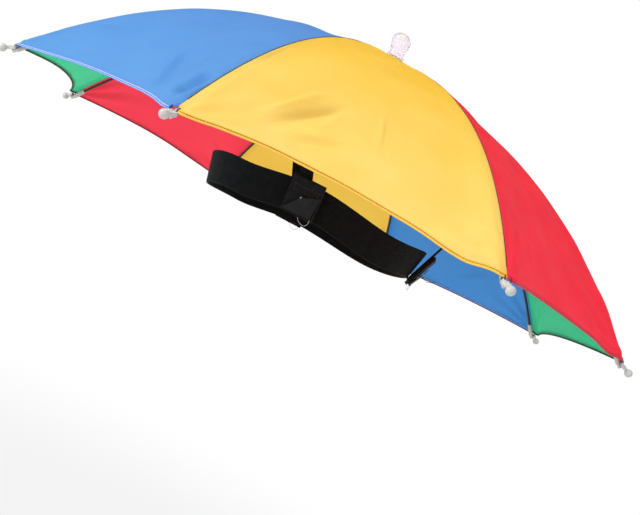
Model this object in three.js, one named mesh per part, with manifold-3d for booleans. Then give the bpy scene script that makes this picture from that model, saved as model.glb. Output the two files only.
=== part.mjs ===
// Umbrella hat: a small open umbrella worn on the head. Cloth panels are stretched over thin metal
// ribs that spring from a hub at the crown. An elastic headband hangs below on straps.
//
// Frame: millimetres, +Z up along the canopy's axis, the wearer's face towards -Y, the wearer's left
// towards +X. The origin is on the axis at the headband's mid height, where a head holds the hat.
// An azimuth is counted in degrees from the front (-Y) towards the wearer's left (+X).

import * as THREE from 'three';
import { mergeVertices } from 'three/addons/utils/BufferGeometryUtils.js';
import Module from 'manifold-3d';

const wasm = await Module();
wasm.setup();

// Driving dimensions, in millimetres and degrees

const clearance = 0.3;          // left between pieces that touch

const canopy = {
  reach: 260,                   // from the axis to the cloth's corner on a rib
  rise: 140,                    // from the rim's corners up to the crown
  rim_height: 5,                // of the rim's corners above the origin
  crown_slope: 0.41,            // share of the rise that is lost in a straight line from the crown
  bend_power: 3,                // the rest falls away with this power of the distance
  cloth: 1,                     // wall
  crown_hole: 4.5,              // radius of the hole for the finial's pin
  rim_hollow: 14,               // how far the rim is drawn in between two ribs
  rim_lift: 4,                  // how far the rim's middle stands above its corners
  corner_half: 7,               // half of the blunt corner where two panels meet on a rib
  sag_power: 3,                 // how close to the rim the panel starts to follow the rim's line
};

const ribs = {
  count: 8,
  wire_radius: 1.1,
  slack: 0.6,                   // how much lower a rib hangs half way along
  inner: 7,                     // radius at which a rib ends inside the hub
  tip_margin: 2,                // how far short of the cloth's corner the wire ends
};

const hub = { radius: 9.5, height: 6, bore_depth: 4, edge: 1 };

const washer = { radius: 8.8, thickness: 0.9 };

const finial = {
  base_radius: 7.3,
  base_height: 2.6,
  waist_radius: 6.1,
  waist_height: 4.4,
  knob_radius: 8,
  knob_height: 13.4,
  height: 20.6,
  pin_radius: 2.4,
};

const tip = {
  sleeve_radius: 2,
  sleeve_length: 9,
  body_width: 5.6,
  body_thickness: 3,
  body_length: 4.4,
  body_lift: 1,                 // the body stands this far above the wire's line
  eye_radius: 0.5,
  neck_radius: 1.3,
  ball_radius: 2.9,
  ball_reach: 8.2,              // from the cloth's corner to the ball's centre
  ball_lift: 2,                 // the neck and ball stand this far above the wire's line
};

const band = {
  half_length: 92,              // front to back, to the middle of the elastic
  half_width: 76,
  centre_y: 1,
  width: 25,
  thickness: 1.5,
  draw: 4.2,                    // how far the straps draw it up
  steps: 48,
};

// Where the straps leave the elastic. Each goes up to the nearest rib.
const strapAzimuth = { left: 83.3, back: 169, right: 276.7 };

// How the elastic runs round the head: its middle's height over the origin, as a share of the draw,
// and how far its upper edge leans out, in degrees.
const bandShape = [
  { azimuth: 0, height: -0.85, lean: 15 },
  { azimuth: 45, height: -0.45, lean: 15 },
  { azimuth: strapAzimuth.left, height: 1, lean: 14 },
  { azimuth: 125, height: -0.3, lean: 13 },
  { azimuth: strapAzimuth.back, height: 0.85, lean: 12 },
  { azimuth: 225, height: -0.3, lean: 13 },
  { azimuth: strapAzimuth.right, height: 1, lean: 14 },
  { azimuth: 315, height: -0.45, lean: 15 },
];

const strap = {
  width: 9.7,
  thickness: 1.3,
  hold: 138,                    // distance from the axis at which a strap is looped on its rib
  loop_length: 9.7,
  loop_wall: 1,
  flat_share: 0.35,             // share of its length that runs flat before it turns to the rib
  steps: 12,
};

const tab = {
  width: 25,
  thickness: 2.6,
  length: 31,
  foot_thickness: 3.7,          // where its two layers end
  foot_length: 9,
  foot_slope: 3,                // length over which the foot thins into the rest
};

// How each tab is sewn on: its turn round the elastic from its strap, in degrees, and how far its
// lower end hangs below the elastic's lower edge
const tabSeat = {
  left: { turn: -2.7, below: 0 },
  back: { turn: 0, below: 4 },
  right: { turn: 2.7, below: 0 },
};

// Colours in their order round the hat, starting at the front
const panelColours = ['green', 'blue', 'yellow', 'red'];

const panelRows = 9;
const panelColumns = 10;
const wireSteps = 14;
const wireSides = 6;
const tipSides = 10;
const loopSides = 12;
const crownSides = 24;

const finish = {
  green: new THREE.MeshStandardMaterial({ color: 0x2fae7c, roughness: 0.45 }),
  blue: new THREE.MeshStandardMaterial({ color: 0x3f82dc, roughness: 0.45 }),
  yellow: new THREE.MeshStandardMaterial({ color: 0xf8c63c, roughness: 0.45 }),
  red: new THREE.MeshStandardMaterial({ color: 0xf23545, roughness: 0.45 }),
  steel: new THREE.MeshStandardMaterial({ color: 0x1b1b1d, roughness: 0.35, metalness: 0.6 }),
  whitePlastic: new THREE.MeshStandardMaterial({ color: 0xf2f1ef, roughness: 0.3 }),
  blackPlastic: new THREE.MeshStandardMaterial({ color: 0x161616, roughness: 0.4 }),
  elastic: new THREE.MeshStandardMaterial({ color: 0x141416, roughness: 0.9 }),
  webbing: new THREE.MeshStandardMaterial({ color: 0x1d1d20, roughness: 0.6 }),
};

// Small helpers

const up = new THREE.Vector3(0, 0, 1);

const toRadians = (degrees) => (degrees * Math.PI) / 180;

// Horizontal unit vector away from the axis
function outward(azimuth) {
  return new THREE.Vector3(Math.sin(toRadians(azimuth)), -Math.cos(toRadians(azimuth)), 0);
}

// Horizontal unit vector along the rim, towards a larger azimuth
function along(azimuth) {
  return new THREE.Vector3(Math.cos(toRadians(azimuth)), Math.sin(toRadians(azimuth)), 0);
}

function mix(a, b, share) {
  return a.clone().lerp(b, share);
}

const range = (count) => Array.from({ length: count }, (_, index) => index);

function meshGeometry(points, triangles) {
  const geometry = new THREE.BufferGeometry();
  const flat = points.flatMap((point) => [point.x, point.y, point.z]);
  geometry.setAttribute('position', new THREE.Float32BufferAttribute(flat, 3));
  geometry.setIndex(triangles);
  return geometry;
}

// A closed body through rings of points. Each ring is a convex outline that turns anticlockwise when
// seen from where the rings go.
function loft(rings, closed = false) {
  const size = rings[0].length;
  const triangles = [];
  const spans = closed ? rings.length : rings.length - 1;
  for (const row of range(spans)) {
    const next = (row + 1) % rings.length;
    for (const k of range(size)) {
      const a = row * size + k;
      const b = row * size + ((k + 1) % size);
      const c = next * size + ((k + 1) % size);
      const d = next * size + k;
      triangles.push(a, b, c, a, c, d);
    }
  }
  if (!closed) {
    const last = (rings.length - 1) * size;
    for (let k = 1; k < size - 1; k++) {
      triangles.push(0, k + 1, k);
      triangles.push(last, last + k, last + k + 1);
    }
  }
  return meshGeometry(rings.flat(), triangles);
}

// Four corners of a flat strip's section at a point, from its directions across and through it
function stripSection(centre, across, through, width, thickness) {
  const half = across.clone().multiplyScalar(width / 2);
  const deep = through.clone().multiplyScalar(thickness / 2);
  return [
    centre.clone().sub(half).sub(deep),
    centre.clone().add(half).sub(deep),
    centre.clone().add(half).add(deep),
    centre.clone().sub(half).add(deep),
  ];
}

// A turned body: the outline's points give a radius and a height, and the axis goes along +Z
function turned(outline, sides) {
  const points = outline.map(([radius, height]) => new THREE.Vector2(radius, height));
  return new THREE.LatheGeometry(points, sides).rotateX(Math.PI / 2);
}

function toSolid(geometry) {
  const bare = geometry.clone();
  bare.deleteAttribute('normal');
  bare.deleteAttribute('uv');
  const merged = mergeVertices(bare, 1e-4);
  return new wasm.Manifold(new wasm.Mesh({
    numProp: 3,
    vertProperties: Float32Array.from(merged.attributes.position.array),
    triVerts: Uint32Array.from(merged.index.array),
  }));
}

function fromSolid(solid) {
  const mesh = solid.getMesh();
  const geometry = new THREE.BufferGeometry();
  geometry.setAttribute('position', new THREE.BufferAttribute(mesh.vertProperties, 3));
  geometry.setIndex(new THREE.BufferAttribute(mesh.triVerts, 1));
  return geometry;
}

// Turns a body made along +Z so that it points along a direction, with its X side facing sideways
function placeAlong(geometry, origin, direction, side) {
  const z = direction.clone().normalize();
  const x = side.clone().sub(z.clone().multiplyScalar(side.dot(z))).normalize();
  const y = z.clone().cross(x);
  const place = new THREE.Matrix4().makeBasis(x, y, z).setPosition(origin);
  return geometry.clone().applyMatrix4(place);
}

// The canopy's form: a curve down each rib, and panels stretched between two of them

const ribSpacing = 360 / ribs.count;

const ribAzimuth = (index) => ribSpacing * (index + 0.5);

const nearestRib = (azimuth) => Math.round(azimuth / ribSpacing - 0.5);

function profileHeight(share) {
  const straight = canopy.crown_slope * share;
  const bent = (1 - canopy.crown_slope) * share ** canopy.bend_power;
  return canopy.rim_height + canopy.rise * (1 - straight - bent);
}

function profileSlope(share) {
  const bent = (1 - canopy.crown_slope) * canopy.bend_power * share ** (canopy.bend_power - 1);
  return (-canopy.rise * (canopy.crown_slope + bent)) / canopy.reach;
}

// Unit vector that points out of the cloth at a rib, square to the seam
function seamNormal(azimuth, share) {
  const slope = profileSlope(share);
  return outward(azimuth).multiplyScalar(-slope).add(up).normalize();
}

function seamDirection(azimuth, share) {
  return outward(azimuth).add(new THREE.Vector3(0, 0, profileSlope(share))).normalize();
}

// A point at a depth under the cloth's outer face on a rib's seam, moved sideways by an offset
function seamPoint(azimuth, share, depth = 0, offset = 0) {
  const point = outward(azimuth).multiplyScalar(canopy.reach * share);
  point.z = profileHeight(share);
  point.add(seamNormal(azimuth, share).multiplyScalar(-depth));
  return point.add(along(azimuth).multiplyScalar(offset));
}

// Positions across a panel, from one seam (-1) to the other (1), with a column at each blunt corner
const halfChord = canopy.reach * Math.sin(Math.PI / ribs.count);
const cornerColumn = 1 - canopy.corner_half / halfChord;
const columnPlaces = [
  -1,
  ...range(panelColumns - 1).map((k) => cornerColumn * ((2 * k) / (panelColumns - 2) - 1)),
  1,
];

function rimPoint(a, b, across, depth) {
  const seamGap = clearance / 2;
  const cornerA = seamPoint(a, 1, depth, canopy.corner_half);
  const cornerB = seamPoint(b, 1, depth, -canopy.corner_half);
  if (across < -cornerColumn) {
    const share = (across + 1) / (1 - cornerColumn);
    return mix(seamPoint(a, 1, depth, seamGap), cornerA, share);
  }
  if (across > cornerColumn) {
    const share = (1 - across) / (1 - cornerColumn);
    return mix(seamPoint(b, 1, depth, -seamGap), cornerB, share);
  }
  const place = across / cornerColumn;
  const bow = 1 - place * place;
  const point = mix(cornerA, cornerB, (place + 1) / 2);
  point.add(outward((a + b) / 2).multiplyScalar(-canopy.rim_hollow * bow));
  point.z += canopy.rim_lift * bow;
  return point;
}

function panelPoint(a, b, share, across, depth) {
  const seamGap = clearance / 2;
  const place = (across + 1) / 2;
  const edgeA = seamPoint(a, share, depth, seamGap);
  const edgeB = seamPoint(b, share, depth, -seamGap);
  const chord = mix(edgeA, edgeB, place);
  const rimA = seamPoint(a, 1, depth, seamGap);
  const rimB = seamPoint(b, 1, depth, -seamGap);
  const pull = rimPoint(a, b, across, depth).sub(mix(rimA, rimB, place));
  return chord.add(pull.multiplyScalar(share ** canopy.sag_power));
}

function panelGeometry(a, b) {
  const firstShare = canopy.crown_hole / canopy.reach;
  const points = [];
  for (const depth of [0, canopy.cloth]) {
    for (const row of range(panelRows + 1)) {
      const share = firstShare + ((1 - firstShare) * row) / panelRows;
      for (const across of columnPlaces) {
        points.push(panelPoint(a, b, share, across, depth));
      }
    }
  }
  const columns = columnPlaces.length;
  const layer = columns * (panelRows + 1);
  const at = (row, column) => row * columns + column;
  const triangles = [];
  const quad = (p, q, r, s) => triangles.push(p, q, r, p, r, s);
  for (const row of range(panelRows)) {
    for (const column of range(columns - 1)) {
      const p = at(row, column);
      const q = at(row + 1, column);
      const r = at(row + 1, column + 1);
      const s = at(row, column + 1);
      quad(p, q, r, s);
      quad(layer + s, layer + r, layer + q, layer + p);
    }
  }
  const wall = (p, q) => quad(q, p, layer + p, layer + q);
  for (const row of range(panelRows)) {
    wall(at(row, 0), at(row + 1, 0));
    wall(at(row + 1, columns - 1), at(row, columns - 1));
  }
  for (const column of range(columns - 1)) {
    wall(at(panelRows, column), at(panelRows, column + 1));
    wall(at(0, column + 1), at(0, column));
  }
  return meshGeometry(points, triangles);
}

// A rib's wire follows its seam under the cloth, as low as the sleeve on its end asks
function wirePoint(azimuth, share) {
  const resting = canopy.cloth + clearance + tip.sleeve_radius;
  return seamPoint(azimuth, share, resting + ribs.slack * Math.sin(Math.PI * share));
}

function wireDirection(azimuth, share) {
  const step = 0.002;
  return wirePoint(azimuth, share + step).sub(wirePoint(azimuth, share - step)).normalize();
}

const wireEndShare = 1 - (ribs.tip_margin * Math.cos(Math.atan(profileSlope(1)))) / canopy.reach;
const wireStartShare = ribs.inner / canopy.reach;

function roundSection(radius, sides) {
  const section = new THREE.Shape();
  const corners = range(sides).map((k) => toRadians((360 / sides) * k));
  section.moveTo(radius, 0);
  corners.slice(1).forEach((turn) => section.lineTo(radius * Math.cos(turn), radius * Math.sin(turn)));
  section.closePath();
  return section;
}

function ribGeometry(azimuth) {
  const length = wireEndShare - wireStartShare;
  const stations = range(wireSteps + 1).map((k) => wireStartShare + (length * k) / wireSteps);
  const path = new THREE.CatmullRomCurve3(stations.map((share) => wirePoint(azimuth, share)));
  const section = roundSection(ribs.wire_radius, wireSides);
  return new THREE.ExtrudeGeometry(section, { steps: wireSteps, extrudePath: path });
}

// How far the cloth has fallen from the crown at a small radius
const crownDrop = (radius) => (radius / canopy.reach) * canopy.crown_slope * canopy.rise;

const hubTop = profileHeight(0) - canopy.cloth - 2 * clearance;

// The hub carries the ribs' inner ends in slots and the finial's pin in a bore
function hubGeometry() {
  const flatRadius = hub.radius / Math.cos(Math.PI / ribs.count);
  const bore = finial.pin_radius + clearance;
  let solid = toSolid(turned([
    [0, hubTop - hub.height],
    [hub.radius - hub.edge, hubTop - hub.height],
    [hub.radius, hubTop - hub.height + hub.edge],
    [hub.radius, hubTop - crownDrop(flatRadius)],
    [bore, hubTop - crownDrop(bore)],
    [bore, hubTop - hub.bore_depth],
    [0, hubTop - hub.bore_depth],
  ], crownSides));
  const width = 2 * (ribs.wire_radius + clearance);
  const height = 2 * hub.height;
  const length = 2 * hub.radius;
  for (const index of range(ribs.count)) {
    const azimuth = ribAzimuth(index);
    const slot = new THREE.BoxGeometry(width, height, length);
    slot.translate(0, height / 2 - width / 2, length / 2 - clearance);
    const direction = wireDirection(azimuth, wireStartShare);
    const side = seamNormal(azimuth, wireStartShare).cross(direction);
    const placed = placeAlong(slot, wirePoint(azimuth, wireStartShare), direction, side);
    solid = solid.subtract(toSolid(placed));
  }
  return fromSolid(solid);
}

// The washer and the finial sit on the cloth at the crown, and the finial's pin goes down into the hub
const washerBore = finial.pin_radius + clearance;
const washerSeat = profileHeight(0) + clearance;
const finialFoot = washerSeat - crownDrop(washerBore) + washer.thickness + clearance;

function washerGeometry() {
  const lower = (radius) => [radius, washerSeat - crownDrop(radius)];
  const upper = (radius) => [radius, washerSeat - crownDrop(radius) + washer.thickness];
  return turned([
    lower(washerBore),
    lower(washer.radius),
    upper(washer.radius),
    upper(washerBore),
    lower(washerBore),
  ], crownSides);
}

// A dome's outline from a turn in degrees up to its pole
function domeOutline(radius, rise, centre, firstTurn, steps) {
  return range(steps + 1).map((k) => {
    const turn = toRadians(firstTurn + ((90 - firstTurn) * k) / steps);
    return [k === steps ? 0 : radius * Math.cos(turn), centre + rise * Math.sin(turn)];
  });
}

function finialGeometry() {
  const pinEnd = hubTop - hub.bore_depth + clearance;
  const knob = finialFoot + finial.knob_height;
  return turned([
    [0, pinEnd],
    [finial.pin_radius, pinEnd],
    [finial.pin_radius, finialFoot],
    [finial.base_radius, finialFoot],
    [finial.base_radius, finialFoot + finial.base_height],
    [finial.waist_radius, finialFoot + finial.waist_height],
    ...domeOutline(finial.knob_radius, finial.height - finial.knob_height, knob, 0, 6),
  ], crownSides);
}

// A rib's tip: a sleeve on the wire's end, a flat body with eyes for the thread, a neck and a ball
function tipGeometry(azimuth) {
  const bore = ribs.wire_radius + clearance;
  const sleeveEnd = ribs.tip_margin + 2 * clearance;
  const sleeve = turned([
    [0, clearance],
    [bore, clearance],
    [bore, clearance - tip.sleeve_length],
    [tip.sleeve_radius, clearance - tip.sleeve_length],
    [tip.sleeve_radius, sleeveEnd],
    [0, sleeveEnd],
  ], tipSides);
  const bodyStart = ribs.tip_margin + clearance;
  const bodyMiddle = bodyStart + tip.body_length / 2;
  const body = new THREE.BoxGeometry(tip.body_width, tip.body_thickness, tip.body_length);
  body.translate(0, tip.body_lift, bodyMiddle);
  const ball = domeOutline(tip.ball_radius, tip.ball_radius, ribs.tip_margin + tip.ball_reach, -60, 6);
  const head = turned([[0, bodyMiddle], [tip.neck_radius, bodyMiddle], ...ball], tipSides);
  head.translate(0, tip.ball_lift, 0);
  let solid = toSolid(sleeve).add(toSolid(body)).add(toSolid(head));
  const eye = new THREE.CylinderGeometry(tip.eye_radius, tip.eye_radius, 4 * tip.body_thickness, 8);
  const eyePlace = (tip.body_width / 2 + tip.neck_radius) / 2;
  for (const side of [-1, 1]) {
    solid = solid.subtract(toSolid(eye.clone().translate(side * eyePlace, 0, bodyMiddle)));
  }
  const direction = wireDirection(azimuth, wireEndShare);
  const side = seamNormal(azimuth, wireEndShare).cross(direction);
  return placeAlong(fromSolid(solid), wirePoint(azimuth, wireEndShare), direction, side);
}

// The elastic headband

function bandRow(azimuth) {
  const rows = bandShape;
  const turn = ((azimuth % 360) + 360) % 360;
  let index = rows.length - 1;
  rows.forEach((row, k) => {
    if (row.azimuth <= turn) index = k;
  });
  const here = rows[index];
  const next = rows[(index + 1) % rows.length];
  const span = (next.azimuth - here.azimuth + 360) % 360;
  const share = (turn - here.azimuth) / span;
  const eased = share * share * (3 - 2 * share);
  return {
    height: band.draw * (here.height + (next.height - here.height) * eased),
    lean: toRadians(here.lean + (next.lean - here.lean) * eased),
  };
}

// The elastic at an azimuth: its middle, its direction along, up its width, and out of its face
function bandFrame(azimuth) {
  const { height, lean } = bandRow(azimuth);
  const turn = toRadians(azimuth);
  const centre = new THREE.Vector3(
    band.half_width * Math.sin(turn),
    band.centre_y - band.half_length * Math.cos(turn),
    height,
  );
  const forward = new THREE.Vector3(
    band.half_width * Math.cos(turn),
    band.half_length * Math.sin(turn),
    0,
  ).normalize();
  const out = forward.clone().cross(up);
  const rising = up.clone().multiplyScalar(Math.cos(lean)).addScaledVector(out, Math.sin(lean));
  const face = forward.clone().cross(rising);
  return { centre, forward, rising, face };
}

function bandGeometry() {
  const rings = range(band.steps).map((k) => {
    const { centre, rising, face } = bandFrame((360 / band.steps) * k);
    return stripSection(centre, rising, face, band.width, band.thickness);
  });
  return loft(rings, true);
}

// A strap's line: from the elastic's lower edge, behind its tab, straight up to the loop on its rib
function strapFrame(place) {
  const { centre, forward, rising, face } = bandFrame(place);
  const edge = centre.clone()
    .addScaledVector(rising, -band.width / 2)
    .addScaledVector(face, band.thickness / 2);
  const azimuth = ribAzimuth(nearestRib(place));
  const share = strap.hold / canopy.reach;
  const loop = wirePoint(azimuth, share);
  const tabUp = loop.clone().sub(edge).projectOnPlane(forward).normalize();
  const tabFace = forward.clone().cross(tabUp);
  const low = edge.clone().addScaledVector(tabFace, clearance + strap.thickness / 2);
  return { low, loop, forward, tabUp, tabFace, wire: wireDirection(azimuth, share) };
}

// The strap lies flat on its tab and then turns, so that its loop goes round the rib's wire
function strapGeometry(place) {
  const { low, loop, forward, wire } = strapFrame(place);
  const direction = loop.clone().sub(low).normalize();
  const square = (vector) => vector.clone().projectOnPlane(direction).normalize();
  const flat = square(forward);
  const looped = square(wire);
  const turn = flat.angleTo(looped) * Math.sign(flat.clone().cross(looped).dot(direction));
  const rings = range(strap.steps + 1).map((k) => {
    const share = k / strap.steps;
    const late = Math.max(0, (share - strap.flat_share) / (1 - strap.flat_share));
    const eased = late * late * (3 - 2 * late);
    const across = flat.clone().applyAxisAngle(direction, turn * eased);
    const through = direction.clone().cross(across);
    return stripSection(mix(low, loop, share), across, through, strap.width, strap.thickness);
  });
  const tube = (radius, length) => {
    const shape = new THREE.CylinderGeometry(radius, radius, length, loopSides).rotateX(Math.PI / 2);
    return toSolid(placeAlong(shape, loop, wire, up));
  };
  const bore = ribs.wire_radius + clearance;
  const sleeve = tube(bore + strap.loop_wall, strap.loop_length);
  const hole = tube(bore, 2 * strap.loop_length);
  return fromSolid(toSolid(loft(rings)).add(sleeve).subtract(hole));
}

// A tab: a doubled piece of webbing on the outside of the strap's lower end
function tabGeometry(place, below) {
  const { low, tabUp, tabFace } = strapFrame(place);
  const inner = clearance + strap.thickness / 2;
  const footTop = tab.foot_length - below;
  const outline = new THREE.Shape([
    new THREE.Vector2(inner, -below),
    new THREE.Vector2(inner + tab.foot_thickness, -below),
    new THREE.Vector2(inner + tab.foot_thickness, footTop),
    new THREE.Vector2(inner + tab.thickness, footTop + tab.foot_slope),
    new THREE.Vector2(inner + tab.thickness, tab.length - below),
    new THREE.Vector2(inner, tab.length - below),
  ]);
  const geometry = new THREE.ExtrudeGeometry(outline, { depth: tab.width, bevelEnabled: false });
  geometry.translate(0, 0, -tab.width / 2);
  const turn = new THREE.Matrix4().makeBasis(tabFace, tabUp, tabFace.clone().cross(tabUp));
  return geometry.applyMatrix4(turn.setPosition(low));
}

// The hat

const hat = new THREE.Group();

function addPiece(name, geometry, material) {
  const mesh = new THREE.Mesh(geometry, material);
  mesh.name = name;
  hat.add(mesh);
}

for (const index of range(ribs.count)) {
  const number = index + 1;
  const colour = panelColours[index % panelColours.length];
  const panel = panelGeometry(ribAzimuth(index - 1), ribAzimuth(index));
  addPiece(`panel_${number}_${colour}`, panel, finish[colour]);
  addPiece(`rib_${number}`, ribGeometry(ribAzimuth(index)), finish.steel);
  addPiece(`rib_tip_${number}`, tipGeometry(ribAzimuth(index)), finish.whitePlastic);
}

addPiece('crown_hub', hubGeometry(), finish.blackPlastic);
addPiece('crown_washer', washerGeometry(), finish.blackPlastic);
addPiece('finial', finialGeometry(), finish.whitePlastic);
addPiece('headband', bandGeometry(), finish.elastic);

for (const [name, azimuth] of Object.entries(strapAzimuth)) {
  addPiece(`strap_${name}`, strapGeometry(azimuth), finish.elastic);
  const { turn, below } = tabSeat[name];
  addPiece(`strap_tab_${name}`, tabGeometry(azimuth + turn, below), finish.webbing);
}

export default hat;
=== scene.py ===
# %% [markdown]
# An umbrella hat is a small open umbrella that is worn on the head. Eight cloth panels are stretched
# over eight wire ribs, and an elastic headband hangs below on three straps. The solid model already
# fixes every size, so this file only gives each piece its real form and finish around that model.

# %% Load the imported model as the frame
import math

import bmesh
import bpy
import numpy as np
from mathutils import Matrix, Vector


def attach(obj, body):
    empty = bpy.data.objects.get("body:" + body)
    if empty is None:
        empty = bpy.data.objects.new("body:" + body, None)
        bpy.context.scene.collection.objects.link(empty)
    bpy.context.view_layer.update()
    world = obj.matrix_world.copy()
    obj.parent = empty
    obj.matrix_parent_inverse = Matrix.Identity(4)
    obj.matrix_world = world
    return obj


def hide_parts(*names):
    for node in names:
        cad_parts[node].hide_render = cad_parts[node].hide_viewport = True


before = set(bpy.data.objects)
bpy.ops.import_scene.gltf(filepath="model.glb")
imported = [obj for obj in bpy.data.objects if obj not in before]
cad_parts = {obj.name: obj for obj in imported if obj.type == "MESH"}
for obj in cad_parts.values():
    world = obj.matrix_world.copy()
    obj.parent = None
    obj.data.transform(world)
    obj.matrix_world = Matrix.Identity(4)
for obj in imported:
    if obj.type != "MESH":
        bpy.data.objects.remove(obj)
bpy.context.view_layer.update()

print("nodes in the frame:", len(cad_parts))


# %% [markdown]
# The same named sizes that drive the solids drive the looks, here in metres. Because a panel, a wire
# and a strap are all worked out from them, they land where the solids are and nothing is fitted by
# hand.

# %% Sizes of the hat
def mm(length):
    """Millimetres as metres."""
    return length * 0.001


CLEARANCE = mm(0.3)          # between pieces that fit together
REACH = mm(260)              # from the axis to the cloth's corner on a rib
RISE = mm(140)               # from the rim's corners up to the crown
RIM_HEIGHT = mm(5)
CROWN_SLOPE = 0.41           # share of the rise lost in a straight line from the crown
BEND_POWER = 3               # the rest is lost in a curve of this power
CLOTH_SPACE = mm(1)          # the solids' wall, in which the real cloth lies
CROWN_HOLE = mm(4.5)
RIM_HOLLOW = mm(14)          # how far the rim is drawn in halfway between two ribs
RIM_LIFT = mm(4)             # and how far it rises there
CORNER_HALF = mm(7)          # half the width of a blunt corner
SAG_POWER = 3                # how fast the rim's pull fades towards the crown

RIB_COUNT = 8
WIRE_RADIUS = mm(1.1)
WIRE_SLACK = mm(0.6)         # how far the wire hangs off the seam halfway
WIRE_START = mm(7) / REACH   # share of the reach at which it leaves the hub
TIP_MARGIN = mm(2)           # from its end to the cloth's corner
SLEEVE_RADIUS = mm(2)

UP = np.array([0.0, 0.0, 1.0])
SPACING = 360 / RIB_COUNT
RNG_SEED = 8


# %% Directions round the hat, and the curve down a rib
def outward(azimuth):
    """Horizontal direction off the axis. The azimuth counts from the front to the wearer's left."""
    turn = math.radians(azimuth)
    return np.array([math.sin(turn), -math.cos(turn), 0.0])


def along(azimuth):
    """Horizontal direction round the axis, towards a larger azimuth."""
    turn = math.radians(azimuth)
    return np.array([math.cos(turn), math.sin(turn), 0.0])


def unit(vectors):
    return vectors / np.linalg.norm(vectors, axis=-1, keepdims=True)


def column(values):
    return np.asarray(values, float)[..., None]


def eased(share):
    share = np.clip(share, 0, 1)
    return share * share * (3 - 2 * share)


def rib_azimuth(index):
    return SPACING * (index + 0.5)


def profile_height(share):
    bent = (1 - CROWN_SLOPE) * share**BEND_POWER
    return RIM_HEIGHT + RISE * (1 - CROWN_SLOPE * share - bent)


def profile_slope(share):
    bent = (1 - CROWN_SLOPE) * BEND_POWER * share ** (BEND_POWER - 1)
    return -RISE * (CROWN_SLOPE + bent) / REACH


def seam_normal(azimuth, share):
    return unit(UP - column(profile_slope(share)) * outward(azimuth))


def seam_point(azimuth, share, depth=0.0, offset=0.0):
    """A point under the cloth's outer face on a rib's seam, moved sideways by an offset."""
    share = np.asarray(share, float)
    point = column(share) * REACH * outward(azimuth) + column(profile_height(share)) * UP
    return point - column(depth) * seam_normal(azimuth, share) + column(offset) * along(azimuth)


def wire_point(azimuth, share):
    resting = CLOTH_SPACE + CLEARANCE + SLEEVE_RADIUS
    return seam_point(azimuth, share, resting + WIRE_SLACK * np.sin(math.pi * np.asarray(share)))


def wire_direction(azimuth, share):
    step = 0.002
    return unit(wire_point(azimuth, share + step) - wire_point(azimuth, share - step))


WIRE_END = 1 - TIP_MARGIN * math.cos(math.atan(profile_slope(1))) / REACH
RIB_SHARES = np.linspace(0, 1, 400)
RIB_LENGTHS = np.concatenate([[0], np.cumsum(np.linalg.norm(np.diff(
    seam_point(0, RIB_SHARES), axis=0), axis=1))])
print("seam from crown to corner: %.1f mm" % (RIB_LENGTHS[-1] * 1000))


# %% [markdown]
# The camera stands where a lens fitted to the photograph's seams and rim puts it: 0.7 m from the
# hat on its wearer's left, a little below the rim. The hat is tipped back in the photograph and
# level here, so the camera is rolled instead. A point to look at and a roll say this more plainly
# than three angles would.

# %% Camera
CAMERA_PLACE = Vector((0.69805, -0.02889, -0.04070))
CAMERA_AIM = Vector((0.0, 0.01125, -0.02551))
CAMERA_ROLL = math.radians(27.44)
PICTURE = (640, 515)
FOCAL_PIXELS = 863.25
PICTURE_CENTRE = (309.81, 251.22)
SENSOR = 36.0

view_line = (CAMERA_AIM - CAMERA_PLACE).normalized()
level = view_line.cross(Vector(UP)).normalized()
upright = level.cross(view_line)
right = level * math.cos(CAMERA_ROLL) + upright * math.sin(CAMERA_ROLL)
top = upright * math.cos(CAMERA_ROLL) - level * math.sin(CAMERA_ROLL)

camera = bpy.data.objects.new("camera", bpy.data.cameras.new("camera"))
bpy.context.scene.collection.objects.link(camera)
turned_camera = Matrix((right, top, -view_line)).transposed().to_4x4()
camera.matrix_world = Matrix.Translation(CAMERA_PLACE) @ turned_camera
camera.data.sensor_width = SENSOR
camera.data.lens = SENSOR * FOCAL_PIXELS / PICTURE[0]
camera.data.shift_x = (PICTURE[0] / 2 - PICTURE_CENTRE[0]) / PICTURE[0]
camera.data.shift_y = (PICTURE_CENTRE[1] - PICTURE[1] / 2) / PICTURE[0]
camera.data.clip_start, camera.data.clip_end = 0.01, 60
bpy.context.scene.camera = camera
print("lens %.1f mm" % camera.data.lens)


# %% [markdown]
# Materials are node trees. Two small functions keep them readable: one turns a colour as a web page
# writes it into the linear numbers that light needs, and one adds a node with its settings and links.
# Every pattern's scale is worked out from a real size, by band_scale or as one over the size.

# %% Helpers for node trees
def hex_colour(text):
    """An sRGB hex colour as linear RGBA."""
    parts = [int(text[k:k + 2], 16) / 255 for k in (1, 3, 5)]
    return [x / 12.92 if x <= 0.04045 else ((x + 0.055) / 1.055) ** 2.4 for x in parts] + [1.0]


def add_node(tree, kind, inputs=None, **settings):
    """Adds a node. Inputs are values, or sockets to link from."""
    node = tree.nodes.new(kind)
    for name, value in settings.items():
        setattr(node, name, value)
    for name, value in (inputs or {}).items():
        if isinstance(value, bpy.types.NodeSocket):
            tree.links.new(value, node.inputs[name])
        else:
            node.inputs[name].default_value = value
    return node


def new_material(name):
    material = bpy.data.materials.new(name)
    material.use_nodes = True
    material.node_tree.nodes.clear()
    return material, material.node_tree


def band_scale(period):
    """Wave Texture's scale for bands that repeat at this distance in metres."""
    return 2 * math.pi / (20 * period)


def blotches(tree, place, size, low, high, detail=2.0):
    """Noise with spots of about this size in metres, as a number from low to high."""
    noise = add_node(tree, "ShaderNodeTexNoise", {"Vector": place, "Scale": 1 / size, "Detail": detail})
    return add_node(tree, "ShaderNodeMapRange", {
        "Value": noise.outputs["Fac"], "From Min": 0.3, "From Max": 0.7,
        "To Min": low, "To Max": high}).outputs["Result"]


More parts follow.
